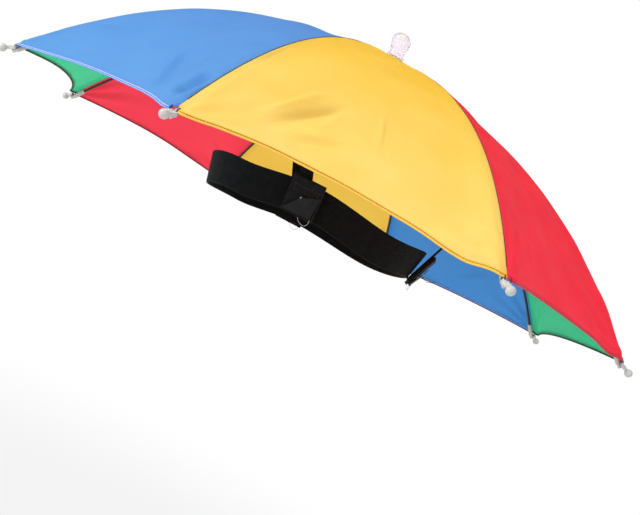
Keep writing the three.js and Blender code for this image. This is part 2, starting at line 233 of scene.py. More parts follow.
def two_tone(tree, share, first, second):
    mixed = add_node(tree, "ShaderNodeMix", data_type="RGBA")
    tree.links.new(share, mixed.inputs["Factor"])
    mixed.inputs[6].default_value = hex_colour(first)
    mixed.inputs[7].default_value = hex_colour(second)
    return mixed.outputs[2]


def bump(tree, height, depth, strength=1.0, under=None):
    node = add_node(tree, "ShaderNodeBump", {"Height": height, "Distance": depth, "Strength": strength})
    if under is not None:
        tree.links.new(under, node.inputs["Normal"])
    return node.outputs["Normal"]


def woven(tree, place, pitch_x, pitch_y):
    """The height of a plain weave: two sets of threads, each a pitch apart, added."""
    warp = add_node(tree, "ShaderNodeTexWave", {"Vector": place, "Scale": band_scale(pitch_x)},
                    bands_direction="X")
    weft = add_node(tree, "ShaderNodeTexWave", {"Vector": place, "Scale": band_scale(pitch_y)},
                    bands_direction="Y")
    return add_node(tree, "ShaderNodeMath", {
        0: warp.outputs["Fac"], 1: weft.outputs["Fac"]}, operation="ADD").outputs[0]


def end_in(tree, shader):
    add_node(tree, "ShaderNodeOutputMaterial", {"Surface": shader})


# %% [markdown]
# The panels are nylon taffeta: thin, tightly woven and calendered, so it has a soft gloss and lets
# some light through. A Principled shader gives the face and a Translucent one the light that comes
# from behind. In the hem the cloth is folded double, so less light passes and the colour is deeper.
# Each colour therefore has four finishes: outside and inside, for single and for doubled cloth. The
# outside is painted paler towards the rim, a painted highlight. The inside of single cloth has its own
# colour, painted light that stands in for the light that comes through, and the inside of the hem is
# painted much darker, a painted shade. Real threads lie 0.2 mm apart, too fine to show, so the weave
# is drawn at 0.7 mm.

# %% Nylon taffeta
NYLON_THREAD = mm(0.7)
RIM_HIGHLIGHT_FROM, RIM_HIGHLIGHT_TO = mm(110), mm(310)      # from the crown down, over which the colour is painted paler: a painted highlight towards the rim
NYLON_LETS_THROUGH = 0.5
HEM_LETS_THROUGH = 0.2
# The face near the crown and near the rim, paler there as a painted highlight, the light that passes,
# and the inside, its colour painted light for what comes through the cloth
NYLON_COLOURS = {
    "green": ("#3BB584", "#44C08F", "#95F0D0", "#3AB282"),
    "blue": ("#6092D0", "#6EA6DA", "#8CC4EA", "#5598DA"),
    "yellow": ("#E6C036", "#F6DE8A", "#FFE995", "#F0CE5E"),
    "red": ("#E81322", "#FA4256", "#FF7E95", "#ED5566"),
}
# The doubled hem's outside and inside; the inside is painted much darker, a painted shade
HEM_COLOURS = {
    "green": ("#2E9E6E", "#0E4A31"),
    "blue": ("#5A8EE4", "#1B3468"),
    "yellow": ("#F6C04C", "#B9741C"),
    "red": ("#E22A40", "#8E1A2A"),
}


def nylon_taffeta(name, crown, rim, through_tint, lets_through):
    """The face is painted a little paler towards the rim, a painted highlight."""
    material, tree = new_material(name)
    place = add_node(tree, "ShaderNodeUVMap", uv_map="UVMap").outputs["UV"]
    down = add_node(tree, "ShaderNodeSeparateXYZ", {"Vector": place}).outputs["Y"]
    # Painted highlight: down the panel the colour goes from the crown's shade to the rim's paler one
    tone_share = add_node(tree, "ShaderNodeMapRange", {
        "Value": down, "From Min": RIM_HIGHLIGHT_FROM, "From Max": RIM_HIGHLIGHT_TO}).outputs["Result"]
    patchy = add_node(tree, "ShaderNodeMath", {
        0: tone_share, 1: blotches(tree, place, mm(35), -0.12, 0.12)},
        operation="ADD", use_clamp=True).outputs[0]
    shade = two_tone(tree, patchy, crown, rim)
    crinkle = blotches(tree, place, mm(9), 0.0, 1.0, detail=3.0)
    weave = bump(tree, woven(tree, place, NYLON_THREAD, NYLON_THREAD), mm(0.03), 0.35)
    normal = bump(tree, crinkle, mm(0.3), 0.7, under=weave)
    face = add_node(tree, "ShaderNodeBsdfPrincipled", {
        "Base Color": shade, "Roughness": blotches(tree, place, mm(14), 0.42, 0.54),
        "IOR": 1.53, "Specular IOR Level": 0.05, "Normal": normal})
    through = add_node(tree, "ShaderNodeBsdfTranslucent", {
        "Color": hex_colour(through_tint), "Normal": normal})
    both = add_node(tree, "ShaderNodeMixShader", {
        0: lets_through, 1: face.outputs["BSDF"], 2: through.outputs["BSDF"]})
    end_in(tree, both.outputs["Shader"])
    return material


# Painted light on the inside: the single cloth's inside colour stands in for the light through it, and
# the hem's inside is painted dark, its passing light too, as a painted shade.
nylon = {}
for colour, (crown, rim, tint, inside) in NYLON_COLOURS.items():
    hem, hem_inside = HEM_COLOURS[colour]
    nylon[colour] = [nylon_taffeta("nylon_%s_%s" % (part, colour), *finish) for part, finish in (
        ("taffeta", (crown, rim, tint, NYLON_LETS_THROUGH)),
        ("hem", (hem, hem, tint, HEM_LETS_THROUGH)),
        ("inside", (inside, inside, tint, NYLON_LETS_THROUGH)),
        ("hem_inside", (hem_inside, hem_inside, hem_inside, HEM_LETS_THROUGH)))]
print("nylon:", list(nylon))


# %% [markdown]
# The wires are spring steel with a black enamel, the tips white moulded polyethylene, the finial a
# milky clear polypropylene, and the hub and washer black ABS. Moulded plastic has a faint orange
# peel and shows few scratches, so a shallow bump and a slow change of roughness are enough.

# %% Enamelled wire and moulded plastics
def moulded(name, light, deep, roughness, grain, depth, **extra):
    """A moulded or enamelled finish with a slow change of shade and a fine relief."""
    material, tree = new_material(name)
    place = add_node(tree, "ShaderNodeTexCoord").outputs["Object"]
    shade = two_tone(tree, blotches(tree, place, grain * 6, 0.0, 1.0), light, deep)
    normal = bump(tree, blotches(tree, place, grain, 0.0, 1.0), depth)
    shader = add_node(tree, "ShaderNodeBsdfPrincipled", {
        "Base Color": shade, "Roughness": blotches(tree, place, grain * 3, *roughness),
        "Normal": normal, **extra})
    end_in(tree, shader.outputs["BSDF"])
    return material


enamelled_wire = moulded("black_enamelled_spring_steel", "#121214", "#0A0A0C", (0.45, 0.6),
                         mm(1.5), mm(0.02), IOR=1.5, **{"Coat Weight": 0.2, "Coat Roughness": 0.35})
tip_polyethylene = moulded("white_moulded_polyethylene", "#BDBBB9", "#B2B0AE", (0.28, 0.38),
                           mm(1.2), mm(0.015), IOR=1.51, **{
                               "Subsurface Weight": 0.15, "Subsurface Radius": (mm(1), mm(1), mm(1)),
                               "Subsurface Scale": 1.0})
black_abs = moulded("black_moulded_ABS", "#1A1A1C", "#121214", (0.35, 0.5), mm(1.5), mm(0.02), IOR=1.53)


def milky_polypropylene():
    """Clear plastic with a milky haze: light passes, but what lies behind it is blurred and pinkish."""
    material, tree = new_material("milky_polypropylene")
    place = add_node(tree, "ShaderNodeTexCoord").outputs["Object"]
    shade = two_tone(tree, blotches(tree, place, mm(6), 0.0, 1.0), "#FFF8FD", "#FBF1FA")
    normal = bump(tree, blotches(tree, place, mm(2.5), 0.0, 1.0), mm(0.012))
    body = add_node(tree, "ShaderNodeBsdfPrincipled", {
        "Base Color": shade, "Roughness": blotches(tree, place, mm(4), 0.25, 0.35), "IOR": 1.49,
        "Transmission Weight": 0.85, "Normal": normal})
    end_in(tree, body.outputs["BSDF"])
    return material


finial_plastic = milky_polypropylene()
print("plastics and enamel:", enamelled_wire.name, tip_polyethylene.name, black_abs.name,
      finial_plastic.name)


# %% [markdown]
# The headband and straps are knitted elastic: rubber threads run along it and make fine ribs, and
# the polyester between them is matt with a slight sheen. Its tabs are woven polyester tape, a
# little glossier. Both read their own UV map, so that the threads follow the strip.

# %% Elastic, tape and thread
def strip_cloth(name, light, deep, roughness, pitch_along, pitch_across, depth, sheen):
    """A narrow woven strip. Its UV map runs along the strip in x and across it in y."""
    material, tree = new_material(name)
    place = add_node(tree, "ShaderNodeUVMap", uv_map="UVMap").outputs["UV"]
    height = woven(tree, place, pitch_along, pitch_across)
    tone_share = blotches(tree, place, mm(8), 0.0, 1.0)
    shade = two_tone(tree, tone_share, light, deep)
    shader = add_node(tree, "ShaderNodeBsdfPrincipled", {
        "Base Color": shade, "Roughness": blotches(tree, place, mm(5), *roughness), "IOR": 1.5,
        "Specular IOR Level": 0.1, "Sheen Weight": sheen, "Sheen Roughness": 0.5,
        "Normal": bump(tree, height, depth, 0.8)})
    end_in(tree, shader.outputs["BSDF"])
    return material


elastic = strip_cloth("knitted_black_elastic", "#0B0A0C", "#060607", (0.7, 0.85),
                      mm(0.8), mm(1.8), mm(0.07), 0.04)
tape = strip_cloth("woven_black_tape", "#0F0F10", "#09090A", (0.55, 0.7),
                   mm(0.7), mm(0.9), mm(0.08), 0.05)
satin_tape = strip_cloth("satin_black_tape", "#1C1C1F", "#121214", (0.32, 0.42),
                         mm(0.5), mm(1.1), mm(0.03), 0.05)


def spun_thread(name, colour, roughness=0.6):
    """Spun polyester sewing thread: two plies that show as slanting bands."""
    material, tree = new_material(name)
    place = add_node(tree, "ShaderNodeTexCoord").outputs["Object"]
    twist = add_node(tree, "ShaderNodeTexWave", {"Vector": place, "Scale": band_scale(mm(0.6))},
                     bands_direction="DIAGONAL")
    shader = add_node(tree, "ShaderNodeBsdfPrincipled", {
        "Base Color": hex_colour(colour), "Roughness": roughness, "Sheen Weight": 0.2,
        "Normal": bump(tree, twist.outputs["Fac"], mm(0.05))})
    end_in(tree, shader.outputs["BSDF"])
    return material


# Thread colours, partly painted light: the dark green and brown hem threads and the dark green and
# maroon edge threads are also a painted shade of the hem's groove and fold, and the pale lilac threads
# on blue a painted highlight along the hem's edge.
HEM_THREAD_AND_PAINTED_LIGHT = {"green": "#155C3C", "blue": "#DAD2FB", "yellow": "#74440A", "red": "#D4253A"}
EDGE_THREAD_AND_PAINTED_LIGHT = {"green": "#1A5F41", "blue": "#9DB0F0", "yellow": "#F8C24E", "red": "#A53444"}
hem_thread = {colour: spun_thread("sewing_thread_" + colour, dye)
              for colour, dye in HEM_THREAD_AND_PAINTED_LIGHT.items()}
edge_thread = {colour: spun_thread("overcast_thread_" + colour, dye)
               for colour, dye in EDGE_THREAD_AND_PAINTED_LIGHT.items()}
dark_thread = spun_thread("black_sewing_thread", "#141317", 0.75)
clear_thread = spun_thread("clear_nylon_thread", "#B9B9BE", 0.25)
print("strips and threads:", elastic.name, tape.name, satin_tape.name, dark_thread.name,
      clear_thread.name)


# %% [markdown]
# Meshes are gathered in a small class: grids of points become skins of quads with a texture place
# at each corner. Poles and seams are closed by merging points that coincide, and the result is one
# object at the origin, whose place is in its mesh.

# %% A gatherer for meshes
class Shape:
    """Points, faces, texture places and finishes of one piece."""

    def __init__(self):
        self.points, self.faces, self.places, self.slots = [], [], [], []

    def skin(self, grid, places, wrap_rows=False, wrap_columns=False, slot=0):
        """A grid of points as quads. places has one more row or column where the grid wraps."""
        rows, columns = grid.shape[:2]
        start = len(self.points)
        i, j = np.meshgrid(np.arange(rows - (not wrap_rows)), np.arange(columns - (not wrap_columns)),
                           indexing="ij")
        i, j = i.ravel(), j.ravel()
        corners = [(i, j), (i, j + 1), (i + 1, j + 1), (i + 1, j)]
        index = np.stack([start + (a % rows) * columns + b % columns for a, b in corners], 1)
        self.points += grid.reshape(-1, 3).tolist()
        self.faces += index.tolist()
        self.places += np.stack([places[a, b] for a, b in corners], 1).reshape(-1, 2).tolist()
        self.slots += [slot] * len(index)

    def cap(self, ring, slot=0, flip=False):
        """A flat end that closes a ring of points."""
        start = len(self.points)
        self.points += ring.tolist()
        order = list(range(start, start + len(ring)))
        self.faces.append(order[::-1] if flip else order)
        self.places += [[0.0, 0.0]] * len(ring)
        self.slots.append(slot)

    def piece(self, name, finishes, sharp=40):
        """One object from what was gathered. Edges sharper than an angle in degrees stay sharp."""
        mesh = bpy.data.meshes.new(name)
        mesh.from_pydata(self.points, [], self.faces)
        mesh.uv_layers.new(name="UVMap").data.foreach_set("uv", np.array(self.places).ravel())
        for finish in finishes:
            mesh.materials.append(finish)
        mesh.polygons.foreach_set("material_index", self.slots)
        body = bmesh.new()
        body.from_mesh(mesh)
        bmesh.ops.remove_doubles(body, verts=body.verts, dist=mm(0.001))
        bmesh.ops.recalc_face_normals(body, faces=body.faces)
        body.to_mesh(mesh)
        body.free()
        mesh.shade_smooth()
        if sharp:
            mesh.set_sharp_from_angle(angle=math.radians(sharp))
        thing = bpy.data.objects.new(name, mesh)
        bpy.context.scene.collection.objects.link(thing)
        return thing


def running_length(points):
    steps = np.linalg.norm(np.diff(points, axis=0), axis=-1)
    return np.concatenate([[0], np.cumsum(steps)])


def texture_grid(rows, columns):
    """Texture places from a length for each row and one for each column."""
    return np.stack(np.meshgrid(rows, columns, indexing="ij"), -1)


def sweep(shape, centres, across, through, outline, closed=False, slot=0):
    """Carries a closed outline along a path: its x goes across the strip and its y through it."""
    outline = np.asarray(outline, float)
    if outline.ndim == 2:
        outline = np.broadcast_to(outline, (len(centres),) + outline.shape)
    rings = centres[:, None] + outline[..., :1] * across[:, None] + outline[..., 1:] * through[:, None]
    path = np.concatenate([centres, centres[:1]]) if closed else centres
    section = np.concatenate([outline[0], outline[0][:1]])
    shape.skin(rings, texture_grid(running_length(path), running_length(section)),
               wrap_rows=closed, wrap_columns=True, slot=slot)
    if not closed:
        shape.cap(rings[0], slot, flip=True)
        shape.cap(rings[-1], slot)


def circle_outline(radius, sides):
    turn = np.linspace(0, 2 * math.pi, sides, endpoint=False)
    return np.stack([radius * np.cos(turn), radius * np.sin(turn)], 1)


def tube(shape, points, radius, sides=8, slot=0):
    """A round thread or wire along a path, with a frame that doesn't twist."""
    points = np.asarray(points, float)
    forward = unit(np.gradient(points, axis=0))
    side = unit(np.cross(forward[0], UP if abs(forward[0][2]) < 0.9 else np.array([1.0, 0, 0])))
    across, through = [], []
    for direction in forward:
        side = unit(side - np.dot(side, direction) * direction)
        across.append(side)
        through.append(np.cross(direction, side))
    sweep(shape, points, np.array(across), np.array(through), circle_outline(radius, sides), slot=slot)


def turned(shape, outline, sides, frame_at=None):
    """A turned body. The outline gives radius and height, and the axis is local z of the place."""
    outline = np.asarray(outline, float)
    turn = np.linspace(0, 2 * math.pi, sides, endpoint=False)
    radius, height = outline[:, :1], outline[:, 1:]
    grid = np.stack([radius * np.cos(turn), radius * np.sin(turn), height + 0 * turn], -1)
    if frame_at is not None:
        origin, axes = frame_at
        grid = origin + grid @ axes
    girth = np.linspace(0, 2 * math.pi * outline[:, 0].max(), sides + 1)
    shape.skin(grid, texture_grid(running_length(outline), girth), wrap_columns=True)


def arc(centre, radius, first, last, steps):
    """Points on an arc in a plane, by angles in degrees."""
    turn = np.radians(np.linspace(first, last, steps))
    return [(centre[0] + radius * math.cos(t), centre[1] + radius * math.sin(t)) for t in turn]


def in_mm(pairs):
    """An outline written in millimetres, in metres."""
    return [(mm(a), mm(b)) for a, b in pairs]


# %% [markdown]
# Geometry Nodes make what repeats. The first tree sets a piece round the crown as often as there
# are ribs. The second sweeps a wire along a path and does the same. The third lays stitches along
# a path, a stitch length apart. Each ends in Realize Instances and Set Material, and its result is
# turned into a plain mesh at once.

# %% Geometry Nodes trees
def new_tree(name, inputs):
    tree = bpy.data.node_groups.new(name, "GeometryNodeTree")
    tree.interface.new_socket(name="Geometry", in_out="INPUT", socket_type="NodeSocketGeometry")
    for label, kind in inputs.items():
        tree.interface.new_socket(name=label, in_out="INPUT", socket_type="NodeSocket" + kind)
    tree.interface.new_socket(name="Geometry", in_out="OUTPUT", socket_type="NodeSocketGeometry")
    return tree, tree.nodes.new("NodeGroupInput").outputs


def set_round(tree, geometry, given):
    """Instances of a geometry round the z axis."""
    index = add_node(tree, "GeometryNodeInputIndex").outputs[0]
    step = add_node(tree, "ShaderNodeMath", {
        0: 2 * math.pi, 1: given["Count"]}, operation="DIVIDE").outputs[0]
    turn = add_node(tree, "ShaderNodeMath", {0: index, 1: step}, operation="MULTIPLY").outputs[0]
    rotation = add_node(tree, "ShaderNodeCombineXYZ", {"Z": turn}).outputs[0]
    points = add_node(tree, "GeometryNodePoints", {"Count": given["Count"]}).outputs[0]
    return add_node(tree, "GeometryNodeInstanceOnPoints", {
        "Points": points, "Instance": geometry, "Rotation": rotation}).outputs[0]


def finish_tree(tree, instances, given):
    real = add_node(tree, "GeometryNodeRealizeInstances", {"Geometry": instances}).outputs[0]
    painted = add_node(tree, "GeometryNodeSetMaterial", {
        "Geometry": real, "Material": given["Material"]})
    add_node(tree, "NodeGroupOutput", {"Geometry": painted.outputs[0]})


def crown_tree():
    tree, given = new_tree("set_round_the_crown", {"Count": "Int", "Material": "Material"})
    finish_tree(tree, set_round(tree, given["Geometry"], given), given)
    return tree


def wire_tree():
    tree, given = new_tree("wires_round_the_crown", {
        "Count": "Int", "Wire Radius": "Float", "Material": "Material"})
    path = add_node(tree, "GeometryNodeMeshToCurve", {"Mesh": given["Geometry"]}).outputs[0]
    round_section = add_node(tree, "GeometryNodeCurvePrimitiveCircle", {
        "Resolution": 14, "Radius": given["Wire Radius"]}).outputs[0]
    wire = add_node(tree, "GeometryNodeCurveToMesh", {
        "Curve": path, "Profile Curve": round_section, "Fill Caps": True}).outputs[0]
    smooth = add_node(tree, "GeometryNodeSetShadeSmooth", {"Geometry": wire}).outputs[0]
    finish_tree(tree, set_round(tree, smooth, given), given)
    return tree


def stitch_tree():
    tree, given = new_tree("stitches_along_a_path", {
        "Stitch Pitch": "Float", "Stitch Size": "Vector", "Material": "Material"})
    path = add_node(tree, "GeometryNodeMeshToCurve", {"Mesh": given["Geometry"]}).outputs[0]
    spaced = add_node(tree, "GeometryNodeResampleCurve", {
        "Curve": path, "Length": given["Stitch Pitch"]}, mode="LENGTH")
    stitch = add_node(tree, "GeometryNodeMeshUVSphere", {"Segments": 8, "Rings": 5, "Radius": 0.5})
    smooth = add_node(tree, "GeometryNodeSetShadeSmooth", {"Geometry": stitch.outputs["Mesh"]})
    tangent = add_node(tree, "GeometryNodeInputTangent").outputs[0]
    rotation = add_node(tree, "FunctionNodeAlignRotationToVector", {"Vector": tangent}, axis="X")
    laid = add_node(tree, "GeometryNodeInstanceOnPoints", {
        "Points": spaced.outputs[0], "Instance": smooth.outputs[0], "Rotation": rotation.outputs[0],
        "Scale": given["Stitch Size"]})
    finish_tree(tree, laid.outputs[0], given)
    return tree


TREES = {"crown": crown_tree(), "wire": wire_tree(), "stitch": stitch_tree()}
print("trees:", [tree.name for tree in TREES.values()])


def grow(thing, tree, values):
    """Runs a tree on an object and keeps the result as the object's plain mesh."""
    modifier = thing.modifiers.new("grow", "NODES")
    modifier.node_group = TREES[tree]
    for socket in TREES[tree].interface.items_tree:
        if socket.in_out == "INPUT" and socket.name in values:
            modifier[socket.identifier] = values[socket.name]
    return flatten(thing)


def flatten(thing):
    """Keeps what an object's modifiers make as its plain mesh."""
    found = thing.evaluated_get(bpy.context.evaluated_depsgraph_get())
    mesh = bpy.data.meshes.new_from_object(found)
    thing.modifiers.clear()
    thing.data = mesh
    mesh.name = thing.name
    return thing


def path_object(name, lines):
    """Open lines of points as one mesh of edges, for a tree to follow."""
    points, edges = [], []
    for line in lines:
        start = len(points)
        points += [tuple(point) for point in line]
        edges += [(start + k, start + k + 1) for k in range(len(line) - 1)]
    mesh = bpy.data.meshes.new(name)
    mesh.from_pydata(points, edges, [])
    thing = bpy.data.objects.new(name, mesh)
    bpy.context.scene.collection.objects.link(thing)
    return thing


def stitches(name, lines, pitch, size, thread):
    return grow(path_object(name, lines), "stitch", {
        "Stitch Pitch": pitch, "Stitch Size": size, "Material": thread})


# %% [markdown]
# No hat that has been used is quite regular. On this one, a rib at the front is bent more than the
# others: it bows up halfway and hangs lower at its tip, and so does what is fixed to it. Points
# near that rib are moved by one smooth rule on every piece, so that cloth, wire, tip and stitches
# stay together. Each finished piece also rides the body and replaces its nodes.

# %% One bent rib, and the calls for a finished piece
BENT_RIB = 22.5                            # its azimuth in degrees
BENT_RIB_DROP, DROP_WIDTH = mm(4.2), 15.0  # at its tip, and over how many degrees
BENT_RIB_BOW, BOW_WIDTH = mm(2.7), 25.0    # halfway


def read_places(thing):
    return np.array([vertex.co for vertex in thing.data.vertices])


def write_places(thing, places):
    thing.data.vertices.foreach_set("co", places.astype("f").ravel())
    thing.data.update()


def bend_rib(thing):
    places = read_places(thing)
    off_rib = np.degrees(np.arctan2(places[:, 0], -places[:, 1])) - BENT_RIB
    reach = np.hypot(places[:, 0], places[:, 1]) / REACH
    places[:, 2] -= BENT_RIB_DROP * reach**3 * np.exp(-((off_rib / DROP_WIDTH) ** 2))
    bow = np.sin(math.pi * np.clip(reach, 0, 1)) ** 2
    places[:, 2] += BENT_RIB_BOW * bow * np.exp(-((off_rib / BOW_WIDTH) ** 2))
    write_places(thing, places)


def settle(thing, slot, *nodes):
    """The calls that every finished piece needs."""
    bend_rib(thing)
    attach(thing, "root")
    if nodes:
        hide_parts(*nodes)
    triangles = sum(len(face.vertices) - 2 for face in thing.data.polygons)
    print("%-22s %6d triangles" % (thing.name, triangles))
    return thing


# %% [markdown]
# A panel is one sheet of taffeta stretched between two ribs. The same rule as in the solids gives
# its surface, on a grid that is fine enough for what makes it cloth: folds that fan out of the
# corners where the tips pull, a few creases from being folded away, a hem of doubled cloth along
# the rim and an allowance of doubled cloth along the seams. The two faces are a cloth's thickness
# apart, and more where it is doubled. Held this tight, it needs no simulation: its slack shows only
# in the rims, which hang or rise a little here and there, so a few short tables give that.

# %% The panel's surface
HALF_CHORD = REACH * math.sin(math.pi / RIB_COUNT)
CORNER_COLUMN = 1 - CORNER_HALF / HALF_CHORD
SEAM_GAP = mm(0.03)
RIM_ARC = REACH * math.hypot(1, profile_slope(1))   # length of rib for a whole share, near the rim

# Corners, numbered as the panel before them, in mm: how far the seam's end is open over the rib tip
NOTCHES = {2: 6.0}
PLAIN_NOTCH = 1.2
NOTCH_HALF = mm(4)
# and how far the corner is pulled out along its rib past the others
STRETCHES = {1: -4.5, 2: 5.0}

# Panels: where the rim hangs slack, from -1 to 1 between its corners, over what width, and its drop
# in mm. A negative drop rises.
SLACK_HEMS = {2: [(0.68, 0.34, -0.9)], 3: [(0.77, 0.23, 3.2), (-0.48, 0.4, -2.6), (0.0, 0.25, -1.2)],
              4: [(0.8, 0.15, 2.0)], 8: [(-0.5, 0.4, 1.2)]}
SLACK_FREE = 0.2                  # share next to a corner over which slack fades out
# and how much lower the whole rim hangs halfway, in mm
LOW_MIDDLES = {5: 2.0, 6: 1.6}


def rim_point(number, a, b, across):
    """A point of a panel's rim: a bowed line between two blunt corners that are square to the ribs."""
    before, after = (number - 1) or RIB_COUNT, number
    corner_a = seam_point(a, 1.0 + stretch(before), 0.0, CORNER_HALF)
    corner_b = seam_point(b, 1.0 + stretch(after), 0.0, -CORNER_HALF)
    place = across / CORNER_COLUMN
    bow = column(np.clip(1 - place * place, 0, 1))
    middle = corner_a + column((place + 1) / 2) * (corner_b - corner_a)
    drop = mm(LOW_MIDDLES.get(number, 0)) * bow
    for centre, width, depth in SLACK_HEMS.get(number, []):
        free = eased((1 - np.abs(place)) / SLACK_FREE)
        drop = drop + column(mm(depth) * free * np.exp(-((place - centre) / width) ** 2))
    middle = middle - RIM_HOLLOW * bow * outward((a + b) / 2) + (RIM_LIFT * bow - drop) * UP
    side_a, side_b = (across + 1) * HALF_CHORD + SEAM_GAP, (1 - across) * HALF_CHORD + SEAM_GAP
    blunt_a = seam_point(a, 1 + stretch(before) - notch(before, side_a), 0.0, side_a)
    blunt_b = seam_point(b, 1 + stretch(after) - notch(after, side_b), 0.0, -side_b)
    return np.where(column(across < -CORNER_COLUMN), blunt_a,
                    np.where(column(across > CORNER_COLUMN), blunt_b, middle))


def notch(corner, side):
    """Share of a rib by which the rim is cut back at a distance from the seam."""
    return mm(NOTCHES.get(corner, PLAIN_NOTCH)) / RIM_ARC * np.clip(1 - side / NOTCH_HALF, 0, 1)


def stretch(corner):
    """Share of a rib by which a corner is pulled out."""
    return mm(STRETCHES.get(corner, 0)) / RIM_ARC


def panel_point(number, a, b, share, across):
    """A point of the stretched surface, by its share down the ribs and its place across, -1 to 1."""
    place = column((across + 1) / 2)
    edge_a, edge_b = seam_point(a, share, 0.0, SEAM_GAP), seam_point(b, share, 0.0, -SEAM_GAP)
    rim_a, rim_b = seam_point(a, 1.0, 0.0, SEAM_GAP), seam_point(b, 1.0, 0.0, -SEAM_GAP)
    chord = edge_a + place * (edge_b - edge_a)
    pull = rim_point(number, a, b, across) - (rim_a + place * (rim_b - rim_a))
    return chord + pull * column(share**SAG_POWER)


# %% Folds, creases, hem and seam allowance
HEM = mm(2.8)                     # its width
HEM_STITCH = mm(1.8)              # from the rim to its row of stitches
HEM_FOLD = mm(2.1)                # from the rim to its edge on the inside
OVERCAST = mm(0.25)               # from the rim to the stitches over its edge
ALLOWANCE = mm(4)                 # the seam's doubled cloth
CLOTH = mm(0.3)
HEM_RAISED, STITCH_SUNK, EDGE_ROLLED = mm(0.22), mm(0.25), mm(0.3)
SEAM_SUNK, SEAM_RIDGE = mm(0.5), mm(0.25)
DOUBLED = mm(0.42)                # what the second layer adds on the inside
THINNEST = mm(0.12)
HEM_STEP, ALLOWANCE_STEP, ROLL_WIDTH = mm(0.6), mm(0.7), mm(0.7)
DENT_WIDTH, GROOVE_WIDTH, RIDGE_AT, RIDGE_WIDTH = mm(0.35), mm(0.9), mm(1.6), mm(0.9)
STILL_AT_SEAM, STILL_AT_RIM, STILL_FADE = mm(5), mm(1.5), mm(6)   # where no fold moves the cloth
THREAD_STANDS = mm(0.08)          # how far a stitch's middle stands off the cloth

# Creases: x and y of both ends in mm, from the crown down the panel's middle line, then
# the width and height of the facet in mm. A negative facet falls away on the other side.
CREASES = {
    1: [(-35, 171, -21, 209, 5, -1.8), (-4, 108, 40, 132, 6, -1.1), (11, 234, 49, 266, 4, -1.5)],
    2: [(-80, 285, -64, 248, 7, 3.4), (-39, 285, -29, 271, 2, 0.9), (-34, 263, -16, 237, 2, 1),
        (-11, 278, -7, 265, 2, 1), (53, 291, 24, 248, 6, -3.4), (76, 288, 77, 262, 6, -6.3),
        (93, 292, 88, 274, 2.4, 3), (93, 287, 90, 267, 2, 2.1), (50, 250, 51, 243, 2, -1)],
    3: [(-57, 283, -21, 234, 7.5, -1.8), (-59, 271, -36, 234, 3, 2.2), (-47, 269, -21, 238, 3, -1.2),
        (-28, 261, -19, 240, 2, 1.3), (-37, 283, -11, 269, 4.5, -1.4), (-46, 281, -21, 267, 3.5, 1.2),
        (5, 221, 9, 258, 2.2, 0.9), (78, 283, 84, 288, 3.5, -1.4), (56, 291, 92, 293, 6, 2.4)],
    4: [(29, 254, 52, 286, 3.2, 0.7), (37, 262, 64, 289, 2.8, -0.6), (55, 269, 76, 296, 2.6, 0.4),
        (-61, 261, -76, 288, 4.5, -1.8), (-44, 260, -43, 276, 4, 1.3), (60, 290, 90, 290, 5, 0.8)],
    5: [(-17, 167, 37, 193, 6, -1.5), (-58, 238, -22, 212, 5, -1.8), (-89, 292, -51, 278, 5, -2)],
    6: [(-28, 210, 28, 190, 7, -1.5), (25, 217, 55, 243, 5, -1.5), (-47, 260, -13, 280, 5, -1.5)],
    7: [(-56, 181, -4, 199, 6, -1.8), (7, 236, 53, 214, 6, -1.8), (44, 264, 76, 286, 5, -2)],
    8: [(-3, 186, 43, 154, 6, -1.5), (-63, 217, -27, 243, 5, -1.5), (-85, 293, -55, 267, 4, -2)],
}
# Height of the fans of folds at a panel's corners, in mm
CORNER_FOLDS = {1: 0.9, 2: 0.5, 3: 0.3, 4: 0.8}
OTHER_CORNER_FOLD = 1.1
FAN_FROM, FAN_WIDTH = mm(24), mm(26)
WAVES, WAVE_HEIGHT = 7, mm(0.3)   # the slow unevenness of the whole sheet
CREASE_TAIL = 1.6                 # how far a facet fades out, in its own widths


def cloth_relief(number, x, y, across):
    """How far the cloth stands off the stretched surface, in metres. x and y are in metres."""
    chance = np.random.default_rng(RNG_SEED + number)
    relief = np.zeros_like(x)
    for _ in range(WAVES):
        length, turn = chance.uniform(0.035, 0.09), chance.uniform(0, math.pi)
        phase = chance.uniform(0, 6.28)
        across_wave = (x * math.cos(turn) + y * math.sin(turn)) / length
        relief += WAVE_HEIGHT * np.sin(2 * math.pi * across_wave + phase)
    for side in (-1, 1):
        dx, dy = side * HALF_CHORD - x, RIB_LENGTHS[-1] - y
        reach = np.hypot(dx, dy)
        angle = np.arctan2(np.abs(dx), dy)
        folds = np.sin(angle * chance.uniform(13, 17) + chance.uniform(0, 6.28))
        fade = np.exp(-((reach - FAN_FROM) / FAN_WIDTH) ** 2) * np.clip(reach / mm(10), 0, 1)
        relief += mm(CORNER_FOLDS.get(number, OTHER_CORNER_FOLD)) * folds * fade
    for x0, y0, x1, y1, width, height in CREASES[number]:
        length = math.hypot(x1 - x0, y1 - y0)
        along_x, along_y = (x1 - x0) / length, (y1 - y0) / length
        dx, dy = x / mm(1) - (x0 + x1) / 2, y / mm(1) - (y0 + y1) / 2
        lengthways = (dx * along_x + dy * along_y) / (length / 2)
        sideways = (dy * along_x - dx * along_y) / width
        facet = eased(sideways + 0.5) * np.exp(-np.clip(sideways - 0.5, 0, None) / CREASE_TAIL)
        relief += mm(height) * facet * np.exp(-lengthways**4)
    from_seam = HALF_CHORD * (y / RIB_LENGTHS[-1]) * (1 - np.abs(across))
    from_rim = np.clip(RIB_LENGTHS[-1] - y, 0, None)
    still = eased(from_seam / STILL_AT_SEAM) * eased((from_rim - STILL_AT_RIM) / STILL_FADE)
    return relief * still, from_seam, from_rim


